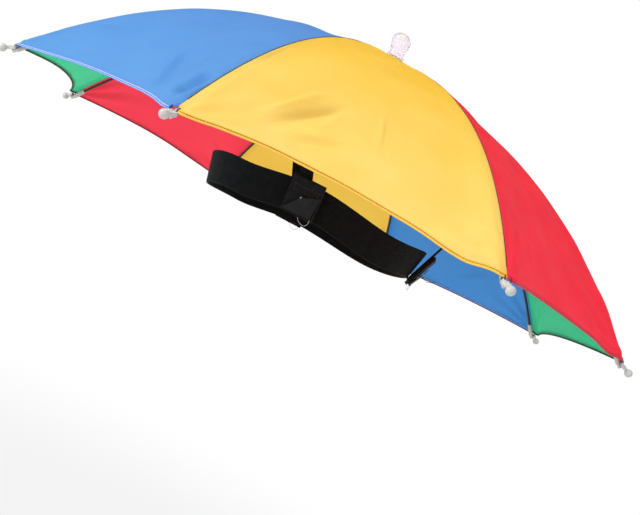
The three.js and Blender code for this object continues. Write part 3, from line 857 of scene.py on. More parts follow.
# %% The panel's grid, closer together at the hem, the seams and the blunt corners
ROWS, COLUMNS = 150, 124          # and the extra ones, in mm from the rim and from the seam
HEM_ROWS = np.array([0, 0.25, 0.6, 1.1, 1.5, 1.8, 2.1, 2.4, 2.8, 3.2, 3.6, 4.2, 5.4, 7.4, 10])
SEAM_COLUMNS = np.array([0, 0.35, 0.8, 1.4, 2.2, 3.2, 4.2, 5.2, 7.0])

hem_shares = 1 - mm(HEM_ROWS) / RIM_ARC
panel_shares = np.concatenate([
    np.linspace(CROWN_HOLE / REACH, hem_shares[-1], ROWS)[:-1], hem_shares[::-1]])
seam_side = -1 + mm(SEAM_COLUMNS) / HALF_CHORD
panel_columns = np.concatenate([
    seam_side, np.linspace(seam_side[-1], -seam_side[-1], COLUMNS)[1:-1], -seam_side[::-1]])


def nearest_row(distance):
    return int(np.argmin(np.abs((1 - panel_shares) * RIM_ARC - distance)))


hem_row, hem_inside_row = nearest_row(HEM), nearest_row(HEM_FOLD)
stitch_row, edge_row = nearest_row(HEM_STITCH), nearest_row(OVERCAST)
print("a panel's grid: %d x %d" % (len(panel_shares), len(panel_columns)))


# %% A panel's two faces and its edges
def panel(number, colour):
    """The finished sheet, and what the stitches need to lie on it."""
    azimuth = SPACING * (number - 1)
    a, b = azimuth - SPACING / 2, azimuth + SPACING / 2
    share, across = np.meshgrid(panel_shares, panel_columns, indexing="ij")
    surface = panel_point(number, a, b, share, across)
    down, over = np.gradient(surface, axis=0), np.gradient(surface, axis=1)
    normal = unit(np.cross(down, over))
    y = np.interp(share, RIB_SHARES, RIB_LENGTHS)
    x = across * HALF_CHORD * share
    relief, from_seam, from_rim = cloth_relief(number, x, y, across)
    hem = 1 - eased((from_rim - HEM) / HEM_STEP)
    stitched = np.exp(-((from_rim - HEM_STITCH) / DENT_WIDTH) ** 2)
    rolled = 1 - eased(from_rim / ROLL_WIDTH)
    groove = np.exp(-(from_seam / GROOVE_WIDTH) ** 2)
    allowance = 1 - eased((from_seam - ALLOWANCE) / ALLOWANCE_STEP)
    ridge = np.exp(-((from_seam - RIDGE_AT) / RIDGE_WIDTH) ** 2)
    outer = (relief + HEM_RAISED * hem - STITCH_SUNK * stitched - EDGE_ROLLED * rolled
             - SEAM_SUNK * groove + SEAM_RIDGE * ridge)
    inner = (relief - CLOTH - DOUBLED * np.maximum(hem, allowance) + mm(0.2) * stitched
             + EDGE_ROLLED * rolled)
    top_face = surface + column(outer) * normal
    under_face = surface + column(np.minimum(inner, outer - THINNEST)) * normal
    places = np.stack([x, y], -1)
    shape = Shape()
    for face, fold_row, order, first_slot in (
            (top_face, hem_row, 1, 0), (under_face, hem_inside_row, -1, 2)):
        for rows, slot in ((np.s_[:fold_row + 1], first_slot), (np.s_[fold_row:], first_slot + 1)):
            shape.skin(face[rows, ::order], places[rows, ::order], slot=slot)
    for rim, slot in ((np.s_[0, :], 0), (np.s_[-1, :], 1), (np.s_[:, 0], 0), (np.s_[:, -1], 0)):
        wall = np.stack([top_face[rim], under_face[rim]])
        shape.skin(wall, np.stack([places[rim], places[rim]]), slot=slot)
    piece = shape.piece("cloth_%d_%s" % (number, colour), nylon[colour], sharp=50)
    areas = np.cross(np.diff(surface, axis=0)[:, :-1], np.diff(surface, axis=1)[:-1])
    area = np.linalg.norm(areas, axis=-1).sum()
    rim_width = running_length(surface[-1])[-1]
    face = surface + column(outer + THREAD_STANDS) * normal
    under = surface + column(inner - THREAD_STANDS) * normal
    return piece, face, under, area, rim_width


# %% Make the eight panels with their hem stitches
COLOURS = tuple(NYLON_COLOURS)
SEWN = np.s_[6:-6]                # the columns that a row of stitches covers
STITCH_PITCH, STITCH_LENGTH, STITCH_HEIGHT = mm(1.9), mm(2.1), mm(0.45)
STITCH_WIDTHS = {"green": 0.75, "blue": 0.4, "yellow": 0.75, "red": 0.55}
OVERCAST_PITCH, OVERCAST_LENGTH, OVERCAST_HEIGHT = mm(1.15), mm(1.3), mm(0.5)
OVERCAST_WIDTHS = {"green": 0.42, "blue": 0.25, "yellow": 0.42, "red": 0.3}

for number in range(1, RIB_COUNT + 1):
    colour = COLOURS[(number - 1) % len(COLOURS)]
    cloth, face, under, area, rim_width = panel(number, colour)
    sewn = stitches("hem_stitches_%d" % number, [face[stitch_row, SEWN], under[stitch_row, SEWN]],
                    STITCH_PITCH, (STITCH_LENGTH, mm(STITCH_WIDTHS[colour]), STITCH_HEIGHT),
                    hem_thread[colour])
    settle(sewn, "cloth_" + colour)
    overcast = stitches("hem_edge_%d" % number, [face[edge_row, SEWN]], OVERCAST_PITCH,
                        (OVERCAST_LENGTH, mm(OVERCAST_WIDTHS[colour]), OVERCAST_HEIGHT),
                        edge_thread[colour])
    settle(overcast, "cloth_" + colour)
    settle(cloth, "cloth_" + colour, "panel_%d_%s" % (number, colour))


# %% [markdown]
# The seams between the panels are sewn with dark thread at the bottom of the groove where two panels
# meet; laid thick and close, the dark thread is also a painted shade of the groove. A seam follows the
# same curve as its rib, so the stitch tree lays a row along that curve.

# %% Seam stitches
SEAM_DEPTH = mm(0.25)
SEAM_PITCH, SEAM_STITCH = mm(2.2), (mm(2.4), mm(0.62), mm(0.55))
seam_shares = np.linspace(0.045, 0.976, 90)
seam_lines = [seam_point(rib_azimuth(index), seam_shares, SEAM_DEPTH) for index in range(RIB_COUNT)]
settle(stitches("seam_stitches", seam_lines, SEAM_PITCH, SEAM_STITCH, dark_thread), "black_plastic")


# %% [markdown]
# A rib is a piece of spring wire, bent to its curve by the stretched cloth. It is drawn once as a
# line of points and swept round by the wire tree. Thread ties hold it to the seam in two places.

# %% Ribs and their ties
wire_shares = np.linspace(WIRE_START, WIRE_END, 70)
wires = path_object("rib_wires", [wire_point(rib_azimuth(0), wire_shares)])
grow(wires, "wire", {"Count": RIB_COUNT, "Wire Radius": WIRE_RADIUS, "Material": enamelled_wire})
settle(wires, "rib_steel", *["rib_%d" % k for k in range(1, RIB_COUNT + 1)])

TIES_AT = (0.36, 0.68)            # shares of the rib
TIE_TURNS, TIE_PITCH, TIE_THREAD = 4, mm(0.55), mm(0.22)
ties = Shape()
for share in TIES_AT:
    centre = wire_point(rib_azimuth(0), share)
    forward = wire_direction(rib_azimuth(0), share)
    lift = seam_normal(rib_azimuth(0), share)
    side = np.cross(lift, forward)
    turn = np.linspace(0, 2 * math.pi * TIE_TURNS, 65)
    reach = WIRE_RADIUS + mm(0.2)
    rise = np.where(np.sin(turn) > 0, mm(0.95), 0)
    helix = (centre + column(reach * np.cos(turn)) * side
             + column((reach + rise) * np.sin(turn)) * lift
             + column(TIE_PITCH * (turn / (2 * math.pi) - TIE_TURNS / 2)) * forward)
    tube(ties, helix, TIE_THREAD, sides=6)
ties = ties.piece("rib_ties", [dark_thread])
grow(ties, "crown", {"Count": RIB_COUNT, "Material": dark_thread})
settle(ties, "black_plastic")


# %% [markdown]
# A rib's tip is one small moulding: a sleeve that the wire is pushed into, a flat body with two ears
# whose eyes take the thread that holds the cloth, a neck and a ball that keeps the wire from
# scratching. The parts are made as closed bodies and joined by Boolean modifiers, so that the
# result is one skin, then set round the crown by the tree.

# %% Rib tips
tip_origin = wire_point(rib_azimuth(0), WIRE_END)
tip_forward = wire_direction(rib_azimuth(0), WIRE_END)
tip_lift = seam_normal(rib_azimuth(0), WIRE_END)
tip_side = unit(np.cross(tip_lift, tip_forward))
tip_lift = np.cross(tip_forward, tip_side)
TIP_AXES = np.array([tip_side, tip_lift, tip_forward])
TILT = math.radians(18)          # the body and ball stand up from the sleeve
tilted_forward = math.cos(TILT) * tip_forward + math.sin(TILT) * tip_lift
tilted_lift = math.cos(TILT) * tip_lift - math.sin(TILT) * tip_forward
TILTED_AXES = np.array([tip_side, tilted_lift, tilted_forward])
BALL_RADIUS = mm(2.9)
BALL_AT = mm(11.0)
BALL_LIFT = mm(1.3)
NECK_RADIUS = mm(1.25)
BODY_LIFT = mm(0.9)
EAR_AT = (mm(2.1), mm(3.7))
EAR_RADIUS = mm(1.45)
PULLED_TIPS = {1: -4.5, 2: 3.3}  # with their corners, along their ribs, in mm
TIP_SPACE = mm(30)               # what lies this near a wire's end belongs to its tip


def tip_place(x=0.0, y=0.0, z=0.0):
    return tip_origin + np.array([x, y, z]) @ TIP_AXES


def body_place(x=0.0, y=0.0, z=0.0):
    return tip_origin + np.array([x, y, z]) @ TILTED_AXES


def pull_out(thing):
    """Move the tips whose corners are stretched, each along its own rib."""
    places = read_places(thing)
    for corner, distance in PULLED_TIPS.items():
        azimuth = rib_azimuth(corner - 1)
        own = np.linalg.norm(places - wire_point(azimuth, WIRE_END), axis=1) < TIP_SPACE
        places[own] += mm(distance) * wire_direction(azimuth, WIRE_END)
    write_places(thing, places)


def boolean(thing, other, operation):
    cut = thing.modifiers.new("cut", "BOOLEAN")
    cut.operation, cut.object, cut.solver = operation, other, "EXACT"
    flatten(thing)
    bpy.data.objects.remove(other)


def joined(name, parts, finish):
    body = parts[0]
    body.name = name
    for part in parts[1:]:
        boolean(body, part, "UNION")
    body.data.materials.clear()
    body.data.materials.append(finish)
    return body


# %% The tip's sleeve, ball and flat body
SLEEVE_OUTLINE = in_mm([(0, 0.3), (1.35, 0.3), (1.35, -8.4), (1.75, -8.7), (2, -8.4), (2, 2.2),
                        (1.75, 2.6), (1.35, 2.9), (1.2, 5.4), (0, 5.4)])
sleeve = Shape()
turned(sleeve, SLEEVE_OUTLINE, 28, (tip_place(), TIP_AXES))
sleeve = sleeve.piece("tip_sleeve", [tip_polyethylene])

neck_top = math.degrees(math.asin(NECK_RADIUS / BALL_RADIUS))
ball_outline = ([(0, mm(4.8)), (NECK_RADIUS, mm(4.8)), (NECK_RADIUS - mm(0.15), mm(6.8))]
                + [(BALL_RADIUS * math.cos(t), BALL_AT + BALL_RADIUS * math.sin(t))
                   for t in np.radians(np.linspace(neck_top - 90, 90, 16))])
ball_outline[-1] = (0, ball_outline[-1][1])
ball = Shape()
turned(ball, ball_outline, 32, (body_place(y=BALL_LIFT), TILTED_AXES))
ball = ball.piece("tip_ball", [tip_polyethylene])

right_side = ([(NECK_RADIUS * 0.9, mm(7.6)), (mm(2.0), mm(6.4))]
              + arc(EAR_AT, EAR_RADIUS, 20, -150, 14) + [(0.0, EAR_AT[1] + mm(1.0))])
left_side = [(-x, z) for x, z in right_side[-2::-1]]
outline = np.array(right_side + left_side)
body = Shape()
levels = np.array([[-1.15, 0.86], [-0.95, 1.0], [0.95, 1.0], [1.15, 0.86]])
middle = outline.mean(0)
rings = np.array([[body_place(x, BODY_LIFT + mm(level), z)
                   for x, z in middle + (outline - middle) * scale] for level, scale in levels])
body.skin(rings, texture_grid(levels[:, 0], np.arange(len(outline) + 1.0)), wrap_columns=True)
body.cap(rings[0], flip=True)
body.cap(rings[-1])
body = body.piece("tip_body", [tip_polyethylene])

# %% Join them, bore the eyes and set the tips round the crown
EYE_AXES = np.array([tilted_forward, tip_side, tilted_lift])
tips = joined("rib_tips", [body, sleeve, ball], tip_polyethylene)
for side in (-1, 1):
    eye = Shape()
    turned(eye, in_mm([(0, -4), (0.6, -4), (0.6, 6), (0, 6)]), 14,
           (body_place(x=side * EAR_AT[0], z=EAR_AT[1]), EYE_AXES))
    boolean(tips, eye.piece("eye", []), "DIFFERENCE")
tips.data.shade_smooth()
tips.data.set_sharp_from_angle(angle=math.radians(50))
grow(tips, "crown", {"Count": RIB_COUNT, "Material": tip_polyethylene})
pull_out(tips)
settle(tips, "tip_plastic", *["rib_tip_%d" % k for k in range(1, RIB_COUNT + 1)])

# %% The thread that lashes the cloth to the tips, two loops through each eye
LASHING_LOOP = in_mm([(0.5, 3.1), (2.6, 3.4), (3.5, 1.8), (3.7, 0.2), (3.0, -0.8), (2.2, 0.0),
                      (1.2, 1.4), (0.5, 3.1)])
lashing = Shape()
for side in (-1, 1):
    for turn_number in range(2):
        x = side * (EAR_AT[0] + mm(0.4) * (turn_number - 0.5))
        tube(lashing, [tip_place(x * (1 + 0.05 * k), y, z) for k, (y, z) in enumerate(LASHING_LOOP)],
             mm(0.2), sides=6)
lashing = lashing.piece("tip_lashing", [dark_thread])
grow(lashing, "crown", {"Count": RIB_COUNT, "Material": dark_thread})
pull_out(lashing)
settle(lashing, "tip_plastic")


# %% [markdown]
# At the crown, the ribs' inner ends sit in slots of a small hub under the cloth. A washer and a
# milky knob, the finial, close the hole on top, and the knob's pin goes down into the hub. All are
# turned outlines. The hub's slots are cut by a Boolean with eight bars.

# %% Hub
def crown_drop(radius):
    return radius / REACH * CROWN_SLOPE * RISE


hub_top = float(profile_height(0)) - CLOTH_SPACE - 2 * CLEARANCE
HUB_RADIUS, HUB_HEIGHT, HUB_BORE, BORE_DEPTH = mm(9.5), mm(6), mm(2.7), mm(4)
HUB_EDGE, HUB_DIMPLE = mm(1), mm(0.6)
hub_foot = hub_top - HUB_HEIGHT
hub = Shape()
turned(hub, [(0, hub_foot + HUB_DIMPLE), (mm(3), hub_foot + HUB_DIMPLE), (mm(3.4), hub_foot)]
       + [(HUB_RADIUS - HUB_EDGE, hub_foot)]
       + arc((HUB_RADIUS - HUB_EDGE, hub_foot + HUB_EDGE), HUB_EDGE, -70, 0, 6)
       + [(HUB_RADIUS, hub_top - crown_drop(HUB_RADIUS)), (HUB_BORE, hub_top - crown_drop(HUB_BORE)),
          (HUB_BORE, hub_top - BORE_DEPTH), (0, hub_top - BORE_DEPTH)], 96)
hub = hub.piece("hub", [black_abs])
slots = Shape()
for index in range(RIB_COUNT):
    azimuth = rib_azimuth(index)
    start = wire_point(azimuth, WIRE_START)
    forward = wire_direction(azimuth, WIRE_START)
    side, lift = along(azimuth), np.cross(along(azimuth), -forward)
    width, beyond = WIRE_RADIUS + mm(0.25), mm(12)
    section = np.array([[-width, -width], [width, -width], [width, beyond], [-width, beyond]])
    ends = np.array([start - forward * mm(0.3), start + forward * beyond])
    sweep(slots, ends, np.array([side, side]), np.array([lift, lift]), section)
boolean(hub, slots.piece("slots", []), "DIFFERENCE")
settle(hub, "black_plastic", "crown_hub")

# %% Washer
washer_seat = float(profile_height(0)) + CLEARANCE
WASHER_RADIUS, WASHER_THICKNESS, WASHER_BORE, WASHER_EDGE = mm(8.8), mm(0.9), mm(2.7), mm(0.2)


def washer_corner(radius, level, cut=0.0):
    """A point of its section: the washer follows the crown's slope. level runs from 0 to 1."""
    return radius - cut, washer_seat - crown_drop(radius) + level * WASHER_THICKNESS


washer = Shape()
turned(washer, [washer_corner(WASHER_BORE, 0), washer_corner(WASHER_RADIUS, 0, WASHER_EDGE),
                washer_corner(WASHER_RADIUS, 0.25), washer_corner(WASHER_RADIUS, 0.75),
                washer_corner(WASHER_RADIUS, 1, WASHER_EDGE), washer_corner(WASHER_BORE, 1),
                washer_corner(WASHER_BORE, 0)], 72)
settle(washer.piece("washer", [black_abs]), "black_plastic", "crown_washer")

# %% Finial
finial_foot = washer_seat - crown_drop(WASHER_BORE) + WASHER_THICKNESS + CLEARANCE
FINIAL_HEIGHT, KNOB_HEIGHT, KNOB_RADIUS = mm(20.6), mm(13.4), mm(8)
KNOB_FOOT = mm(2.6)              # the ring that the knob stands on
FINIAL_LEAN = 0.1                # the knob leans to the front, by this share of its height
PIN_RADIUS, PIN_TAPER = mm(2.4), mm(0.3)
pin_end = hub_top - BORE_DEPTH + CLEARANCE
knob_profile = in_mm([(7.0, 0.0), (7.3, 0.3), (7.3, 2.2), (7.0, 2.6), (6.4, 3.1), (6.15, 3.8),
                      (6.1, 4.6), (6.5, 6.6), (7.1, 9.0), (7.7, 11.4)]) + [(KNOB_RADIUS, KNOB_HEIGHT)]
dome = [(KNOB_RADIUS * math.cos(t) ** 0.8, KNOB_HEIGHT + (FINIAL_HEIGHT - KNOB_HEIGHT) * math.sin(t))
        for t in np.radians(np.linspace(8, 90, 14))]
dome[-1] = (0.0, FINIAL_HEIGHT)
finial = Shape()
turned(finial, [(0, pin_end), (PIN_RADIUS - PIN_TAPER, pin_end), (PIN_RADIUS, pin_end + mm(0.4)),
                (PIN_RADIUS, finial_foot)]
       + [(radius, finial_foot + height) for radius, height in knob_profile + dome], 72)
for point in finial.points:
    point[1] -= FINIAL_LEAN * max(0.0, point[2] - finial_foot - KNOB_FOOT)
settle(finial.piece("crown_knob", [finial_plastic], sharp=60), "finial_plastic", "finial")
print("finial's top at %.1f mm" % ((finial_foot + FINIAL_HEIGHT) * 1000))


# %% [markdown]
# The headband is a ring of 25 mm elastic. It is modelled directly as a strip: an outline with the
# fine ribs of the rubber threads is carried round an oval that fits a head, drawn up where the
# straps hold it and leaning out a little towards its top, as it does in wear.

# %% Headband
BAND = {"half_length": mm(92), "half_width": mm(76), "centre_y": mm(1), "width": mm(25),
        "thickness": mm(1.5), "draw": mm(4.2)}
STRAPS = {"left": 83.3, "back": 169, "right": 276.7}     # azimuths
# Azimuth, how far the band is drawn up (times its draw), and how far it leans out in degrees
BAND_ROWS = [(0, -0.85, 15), (45, -0.45, 15), (STRAPS["left"], 1, 14), (125, -0.3, 13),
             (STRAPS["back"], 0.85, 12), (225, -0.3, 13), (STRAPS["right"], 1, 14), (315, -0.45, 15),
             (360, -0.85, 15)]
BAND_STEPS = 240


def band_frame(azimuth):
    """The elastic's middle, its direction along, up its width and out of its face."""
    turn_on = azimuth % 360
    here, after = [(p, q) for p, q in zip(BAND_ROWS, BAND_ROWS[1:]) if p[0] <= turn_on <= q[0]][0]
    share = float(eased((turn_on - here[0]) / (after[0] - here[0])))
    height = BAND["draw"] * (here[1] + (after[1] - here[1]) * share)
    lean = math.radians(here[2] + (after[2] - here[2]) * share)
    turn = math.radians(azimuth)
    centre = np.array([BAND["half_width"] * math.sin(turn),
                       BAND["centre_y"] - BAND["half_length"] * math.cos(turn), height])
    forward = unit(np.array([BAND["half_width"] * math.cos(turn),
                             BAND["half_length"] * math.sin(turn), 0.0]))
    out = np.cross(forward, UP)
    rising = math.cos(lean) * UP + math.sin(lean) * out
    return centre, forward, rising, np.cross(forward, rising)


def strip_outline(width, thickness, ribs, relief, points_per_rib=4):
    """Section of an elastic strip: fine ribs on both faces and rounded edges."""
    half, corner = width / 2, thickness / 2
    count = ribs * points_per_rib
    place = np.linspace(-(half - corner), half - corner, count + 1)
    wave = relief * (np.cos(2 * math.pi * ribs * np.arange(count + 1) / count) - 1) / 2
    front = np.stack([place, corner + wave], 1)
    edge = np.array([(half - corner + corner * math.cos(t), corner * math.sin(t))
                     for t in np.radians([60, 30, 0, -30, -60])])
    return np.concatenate([front, edge, front[::-1] * [1, -1], edge[::-1] * [-1, 1]])


middles, _, rising, faces = [np.array(part) for part in zip(
    *[band_frame(a) for a in np.linspace(0, 360, BAND_STEPS, endpoint=False)])]
band = Shape()
sweep(band, middles, rising, faces, strip_outline(BAND["width"], BAND["thickness"], 14, mm(0.1)),
      closed=True)
settle(band.piece("elastic_headband", [elastic], sharp=0), "band_elastic", "headband")
round_length = running_length(np.concatenate([middles, middles[:1]]))[-1]
print("headband's length round: %.0f mm" % (round_length * 1000))


# %% [markdown]
# Each strap is a narrower elastic. It starts at the band's lower edge behind its tab, runs up flat,
# then turns so that its end can go round the rib's wire, where it is folded back and sewn. The
# strip is carried along that path as one piece, loop included.

# %% Straps
STRAP = {"width": mm(9.7), "thickness": mm(1.3),
         "hold": mm(138),                 # from the axis to its loop on the wire
         "flat_share": 0.35}              # share of its length before it starts to turn
LOOP_RADIUS = WIRE_RADIUS + mm(0.8)
LOOP_FROM, LOOP_TO, LOOP_STEPS = -62, 238, 26
RISE_STEPS, THIN_FROM = 40, 34            # points up to the loop, and where it starts to be thinner
THINNER = 0.72
END_STEPS, END_STEP = 8, mm(1.3)          # the sewn end below the loop


def strap_frame(azimuth):
    """Where a strap starts and ends, and the directions of the flat tab at its foot."""
    centre, forward, rising, face = band_frame(azimuth)
    edge = centre - rising * BAND["width"] / 2 + face * BAND["thickness"] / 2
    rib = rib_azimuth(round(azimuth / SPACING - 0.5))
    share = STRAP["hold"] / REACH
    loop = wire_point(rib, share)
    tab_up = loop - edge
    tab_up = unit(tab_up - np.dot(tab_up, forward) * forward)
    tab_face = np.cross(forward, tab_up)
    low = edge + tab_face * (CLEARANCE + STRAP["thickness"] / 2)
    return low, loop, forward, tab_up, tab_face, wire_direction(rib, share)


def turn_about(vector, axis, angle):
    return (vector * math.cos(angle) + np.cross(axis, vector) * math.sin(angle)
            + axis * np.dot(axis, vector) * (1 - math.cos(angle)))


def strap(name, azimuth):
    low, loop, forward, _, _, wire = strap_frame(azimuth)
    direction = unit(loop - low)
    flat = unit(forward - np.dot(forward, direction) * direction)
    looped = unit(wire - np.dot(wire, direction) * direction)
    sense = np.sign(np.dot(np.cross(flat, looped), direction))
    angle = math.acos(np.clip(np.dot(flat, looped), -1, 1)) * sense
    length = np.linalg.norm(loop - low)
    last = (length - LOOP_RADIUS - mm(1.2)) / length
    centres, across, through = [], [], []
    for share in np.linspace(0, last, RISE_STEPS):
        late = float(eased((share - STRAP["flat_share"]) / (last - STRAP["flat_share"])))
        side = turn_about(flat, direction, angle * late)
        centres.append(low + (loop - low) * share)
        across.append(side)
        through.append(np.cross(direction, side))
    outward_side = through[-1]
    heading = np.cross(wire, outward_side)
    heading = unit(heading) * np.sign(np.dot(heading, direction))
    for turn in np.radians(np.linspace(LOOP_FROM, LOOP_TO, LOOP_STEPS)):
        spoke = math.cos(turn) * outward_side + math.sin(turn) * heading
        centres.append(loop + LOOP_RADIUS * spoke)
        across.append(wire)
        through.append(spoke)
    end = centres[-1]
    for k in range(1, END_STEPS + 1):
        centres.append(end - heading * END_STEP * k - outward_side * mm(0.02) * k)
        across.append(wire)
        through.append(-outward_side)
    wide = strip_outline(STRAP["width"], STRAP["thickness"], 5, mm(0.12))
    outlines = np.stack([wide if k < THIN_FROM else wide * [1, THINNER] for k in range(len(centres))])
    shape = Shape()
    sweep(shape, np.array(centres), np.array(across), np.array(through), outlines)
    settle(shape.piece("elastic_" + name, [elastic], sharp=0), "band_elastic", name)


for name, azimuth in STRAPS.items():
    strap("strap_" + name, azimuth)


# %% [markdown]
# A tab is a piece of black tape folded over on itself, sewn through the strap and the elastic. Its
# path goes up at the back, over a fold and down at the front, where the two ends part a little.
# A glossier corner of tape is folded across its lower half, and a few thread ends were left uncut.

# %% Tabs
TAB = {"width": mm(25), "thickness": mm(2.6), "length": mm(31), "foot": mm(3.7)}
TAB_TURN = {"left": -2.7, "back": 0, "right": 2.7}      # degrees round the elastic from the strap
TAB_BELOW = {"left": mm(0), "back": mm(4), "right": mm(0)}
# The glossy folded corner: its four corners, and its clear thread's points, as mm across and up a tab
FOLDED_CORNER = {"left": [(-11.9, 2.9), (10.3, 3.6), (12.2, 21.8), (-1.4, 16.7)],
                 "back": [(-9.8, -2.2), (9.6, 0.4), (12.2, 17.5), (-1.2, 11.2)]}
CLEAR_LOOP = {"left": [(1.9, 1.0), (4.6, -1.6), (8.4, -2.2), (10.6, -0.2), (10.9, 3.0)],
              "back": [(1.5, -3.0), (3.5, -5.8), (7.5, -6.6), (11.5, -4.4), (12.6, -0.5)]}
for table in (FOLDED_CORNER, CLEAR_LOOP):
    table["right"] = [(-x, y) for x, y in table["left"]]
CORNER_STANDS = (0.25, 0.25, 0.2, 0.9)   # how far the folded corner's corners stand off, in mm
THREAD_STANDS_OFF = (-0.4, 0.4, 0.9, 0.6, -0.4)
STRAY_THREAD = [(0.0, 8.5, -0.4), (-0.5, 9.6, 3.0), (-1.2, 9.4, 6.5), (-1.5, 11.6, 9.5),
                (-1.4, 14.6, 11.2)]
STITCH_BOX = [(-9, 24.5), (9, 24.5), (9, 20), (-9, 20), (-9, 24.5)]
TAPE, SATIN_TAPE = mm(1.15), mm(0.55)    # thicknesses


def tape_outline(width, thickness, steps=24):
    """Section of a flat tape with slightly thickened woven edges."""
    place = np.linspace(-1, 1, steps)
    half = thickness / 2 * (1 - 0.12 * (1 - np.abs(place) ** 6))
    front = np.stack([place * width / 2, half], 1)
    selvedge = width / 2 + thickness * 0.16
    edge = np.array([[selvedge, thickness * 0.22], [selvedge, -thickness * 0.22]])
    return np.concatenate([front, edge, front[::-1] * [1, -1], edge[::-1] * [-1, 1]])


def smooth_line(points, steps):
    """A smooth line through a few points."""
    points = np.array(points)
    padded = np.concatenate([2 * points[:1] - points[1:2], points, 2 * points[-1:] - points[-2:-1]])
    found = []
    for place in np.linspace(0, len(points) - 1, steps):
        k = min(int(place), len(points) - 2)
        t = place - k
        p0, p1, p2, p3 = padded[k:k + 4]
        found.append(0.5 * (2 * p1 + (p2 - p0) * t + (2 * p0 - 5 * p1 + 4 * p2 - p3) * t * t
                            + (3 * p1 - p0 - 3 * p2 + p3) * t**3))
    return np.array(found)


def tab(name, azimuth, seed):
    """A tab with its folded corner, its box of stitches and its loose thread ends."""
    low, _, forward, up, face, _ = strap_frame(azimuth + TAB_TURN[name])
    inner = CLEARANCE + STRAP["thickness"] / 2
    near, far = inner + TAPE / 2, inner + TAB["thickness"] - TAPE / 2
    bottom, top_at = -TAB_BELOW[name], TAB["length"] - TAB_BELOW[name]
    bend = (far - near) / 2 + mm(0.02)
    fold, parting = top_at - bend - TAPE / 2, TAB["foot"] - TAB["thickness"]
    path = [(near, h) for h in np.linspace(bottom, fold, 16)]
    path += [((near + far) / 2 - bend * math.cos(t), fold + bend * math.sin(t))
             for t in np.radians(np.linspace(20, 160, 7))]
    path += [(far + parting * float(eased((mm(6) - h) / mm(8))), h)
             for h in np.linspace(fold, bottom + mm(1.2), 16)]
    path = np.array(path)
    wobble = mm(0.25) * np.sin(np.linspace(0, 9, len(path)) + seed)
    centres = low + column(path[:, 0]) * face + column(path[:, 1]) * up + column(wobble) * forward
    heading = unit(np.gradient(centres, axis=0))
    across = np.broadcast_to(forward, centres.shape)
    shape = Shape()
    sweep(shape, centres, across, unit(np.cross(heading, across)),
          tape_outline(TAB["width"] - mm(0.4), TAPE))
    base = far + TAPE / 2 + parting

    def on_tab(side, height, off):
        return low + forward * mm(side) + up * mm(height) + face * (base + mm(off))

    steps = np.linspace(0, 1, 13)
    a, b, c, d = [on_tab(x, y, off) for (x, y), off in zip(FOLDED_CORNER[name], CORNER_STANDS)]
    s, t = np.meshgrid(steps, steps, indexing="ij")
    sheet = (column((1 - s) * (1 - t)) * a + column(s * (1 - t)) * b
             + column(s * t) * c + column((1 - s) * t) * d)
    swell = (mm(0.7) * np.sin(math.pi * s) * np.sin(math.pi * t)
             + mm(0.35) * np.sin(7 * t + 3 * s + seed) * s * (1 - s))
    sheet = sheet + column(swell) * face
    behind = sheet - face * SATIN_TAPE
    places = np.stack([s * mm(20), t * mm(16)], -1)
    shape.skin(sheet, places, slot=1)
    shape.skin(behind[:, ::-1], places[:, ::-1], slot=1)
    for rim in (np.s_[0, :], np.s_[-1, :], np.s_[:, 0], np.s_[:, -1]):
        wall = np.stack([sheet[rim], behind[rim]])
        shape.skin(wall, np.zeros(wall.shape[:2] + (2,)), slot=1)
    settle(shape.piece("tape_tab_" + name, [tape, satin_tape], sharp=45), "tab_webbing",
           "strap_tab_" + name)
    box = [on_tab(x, y, -1.0) for x, y in STITCH_BOX]
    lines = [np.array([p + (q - p) * k / 8 for k in range(9)]) for p, q in zip(box, box[1:])]
    sewn = stitches("tab_stitches_" + name, lines, mm(2.2), (mm(1.6), mm(0.4), mm(0.4)), dark_thread)
    settle(sewn, "tab_webbing")
    ends = Shape()
    loose = [on_tab(x, y, off) for (x, y), off in zip(CLEAR_LOOP[name], THREAD_STANDS_OFF)]
    tube(ends, smooth_line(loose, 24), mm(0.17), sides=6)
    if name == "back":
        stray = [on_tab(*point) for point in STRAY_THREAD]
        tube(ends, smooth_line(stray, 24), mm(0.2), sides=6, slot=1)
    x, y = FOLDED_CORNER[name][3]
    knot = [on_tab(x - 0.3, y - 0.6, 0.9), on_tab(x, y, 1.35), on_tab(x + 0.4, y + 0.8, 0.9)]
    tube(ends, knot, mm(0.32), sides=6)
    settle(ends.piece("thread_ends_" + name, [clear_thread, dark_thread]), "tab_webbing")


for seed, (name, azimuth) in enumerate(STRAPS.items()):
    tab(name, azimuth, seed)


# %% [markdown]
# The studio is a plain pale floor in an even white surround, as in a light tent, so that the
# colours stay clear and the shade under the cloth soft. The floor glows a little and fades into
# white before its rim. A white backdrop stands round everything: it shows behind the hat but throws
# no light, because the surround already does that, a little weaker. One large soft lamp high in
# front gives the light its direction, and three weak ones fill in from above, the side and below.

# %% Studio
WHITE = (1, 1, 1, 1)
SURROUND_LIGHT = 0.62
world = bpy.data.worlds.new("white_surround")
bpy.context.scene.world = world
world.use_nodes = True
world.node_tree.nodes.clear()
surround = add_node(world.node_tree, "ShaderNodeBackground", {
    "Color": WHITE, "Strength": SURROUND_LIGHT})
add_node(world.node_tree, "ShaderNodeOutputWorld", {"Surface": surround.outputs[0]})
bpy.context.scene.view_settings.view_transform = "Standard"

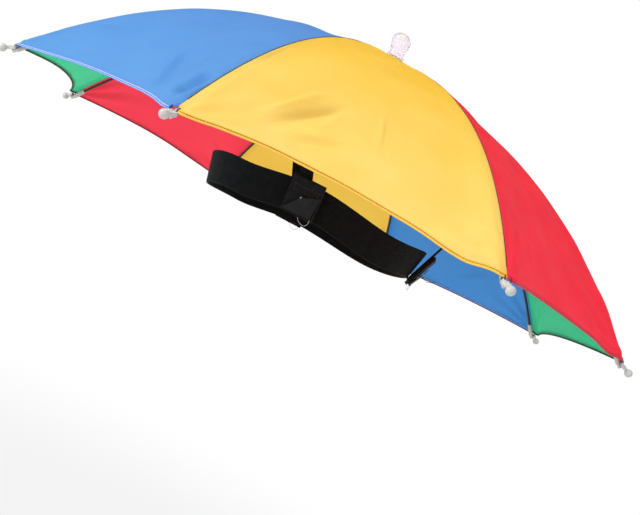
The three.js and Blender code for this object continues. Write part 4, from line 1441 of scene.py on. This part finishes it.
FLOOR_DEPTH, FLOOR_RADII = -0.85, (0, 1.5, 4, 9)
FADE_STARTS, FADE_ENDS, LEAST_GLOW = 1.4, 3.0, 0.55
floor_shape = Shape()
turned(floor_shape, [(radius, FLOOR_DEPTH) for radius in FLOOR_RADII], 64)
floor_paint, tree = new_material("pale_floor_paint")
place = add_node(tree, "ShaderNodeTexCoord").outputs["Object"]
distance = add_node(tree, "ShaderNodeVectorMath", {0: place}, operation="LENGTH").outputs["Value"]
fade = add_node(tree, "ShaderNodeMapRange", {
    "Value": distance, "From Min": FADE_STARTS, "From Max": FADE_ENDS, "To Min": LEAST_GLOW},
    interpolation_type="SMOOTHSTEP").outputs["Result"]
matt = add_node(tree, "ShaderNodeBsdfDiffuse", {"Color": (0.86, 0.86, 0.86, 1)})
glow = add_node(tree, "ShaderNodeEmission", {"Color": WHITE, "Strength": 1.0})
faded = add_node(tree, "ShaderNodeMixShader", {0: fade, 1: matt.outputs[0], 2: glow.outputs[0]})
end_in(tree, faded.outputs[0])
floor = floor_shape.piece("floor", [floor_paint])

# %% Backdrop
DOME_RADIUS = 14.0
dome_shape = Shape()
turned(dome_shape, [(DOME_RADIUS * math.cos(t), DOME_RADIUS * math.sin(t))
                    for t in np.radians(np.linspace(-89.9, 89.9, 25))], 48)
dome_paint, tree = new_material("white_backdrop_paper")
end_in(tree, add_node(tree, "ShaderNodeEmission", {"Color": WHITE, "Strength": 1.0}).outputs[0])
dome = dome_shape.piece("backdrop", [dome_paint])
dome.visible_diffuse = dome.visible_glossy = dome.visible_shadow = False


# %% Soft lamps: place in metres and power in watts
LAMP_WIDTH = 0.9
LAMPS = {"front_lamp": ((0.9, -1.9, 1.1), 38), "top_lamp": ((0.2, -0.2, 2.0), 10),
         "side_lamp": ((2.0, 1.0, 0.5), 10), "low_lamp": ((0.9, -0.9, -0.7), 4)}

for name, (place, power) in LAMPS.items():
    lamp = bpy.data.objects.new(name, bpy.data.lights.new(name, "AREA"))
    lamp.data.shape, lamp.data.size, lamp.data.energy = "DISK", LAMP_WIDTH, power
    lamp.location = place
    lamp.rotation_euler = (-Vector(place)).to_track_quat("-Z", "Y").to_euler()
    bpy.context.scene.collection.objects.link(lamp)
print("lamps:", list(LAMPS))
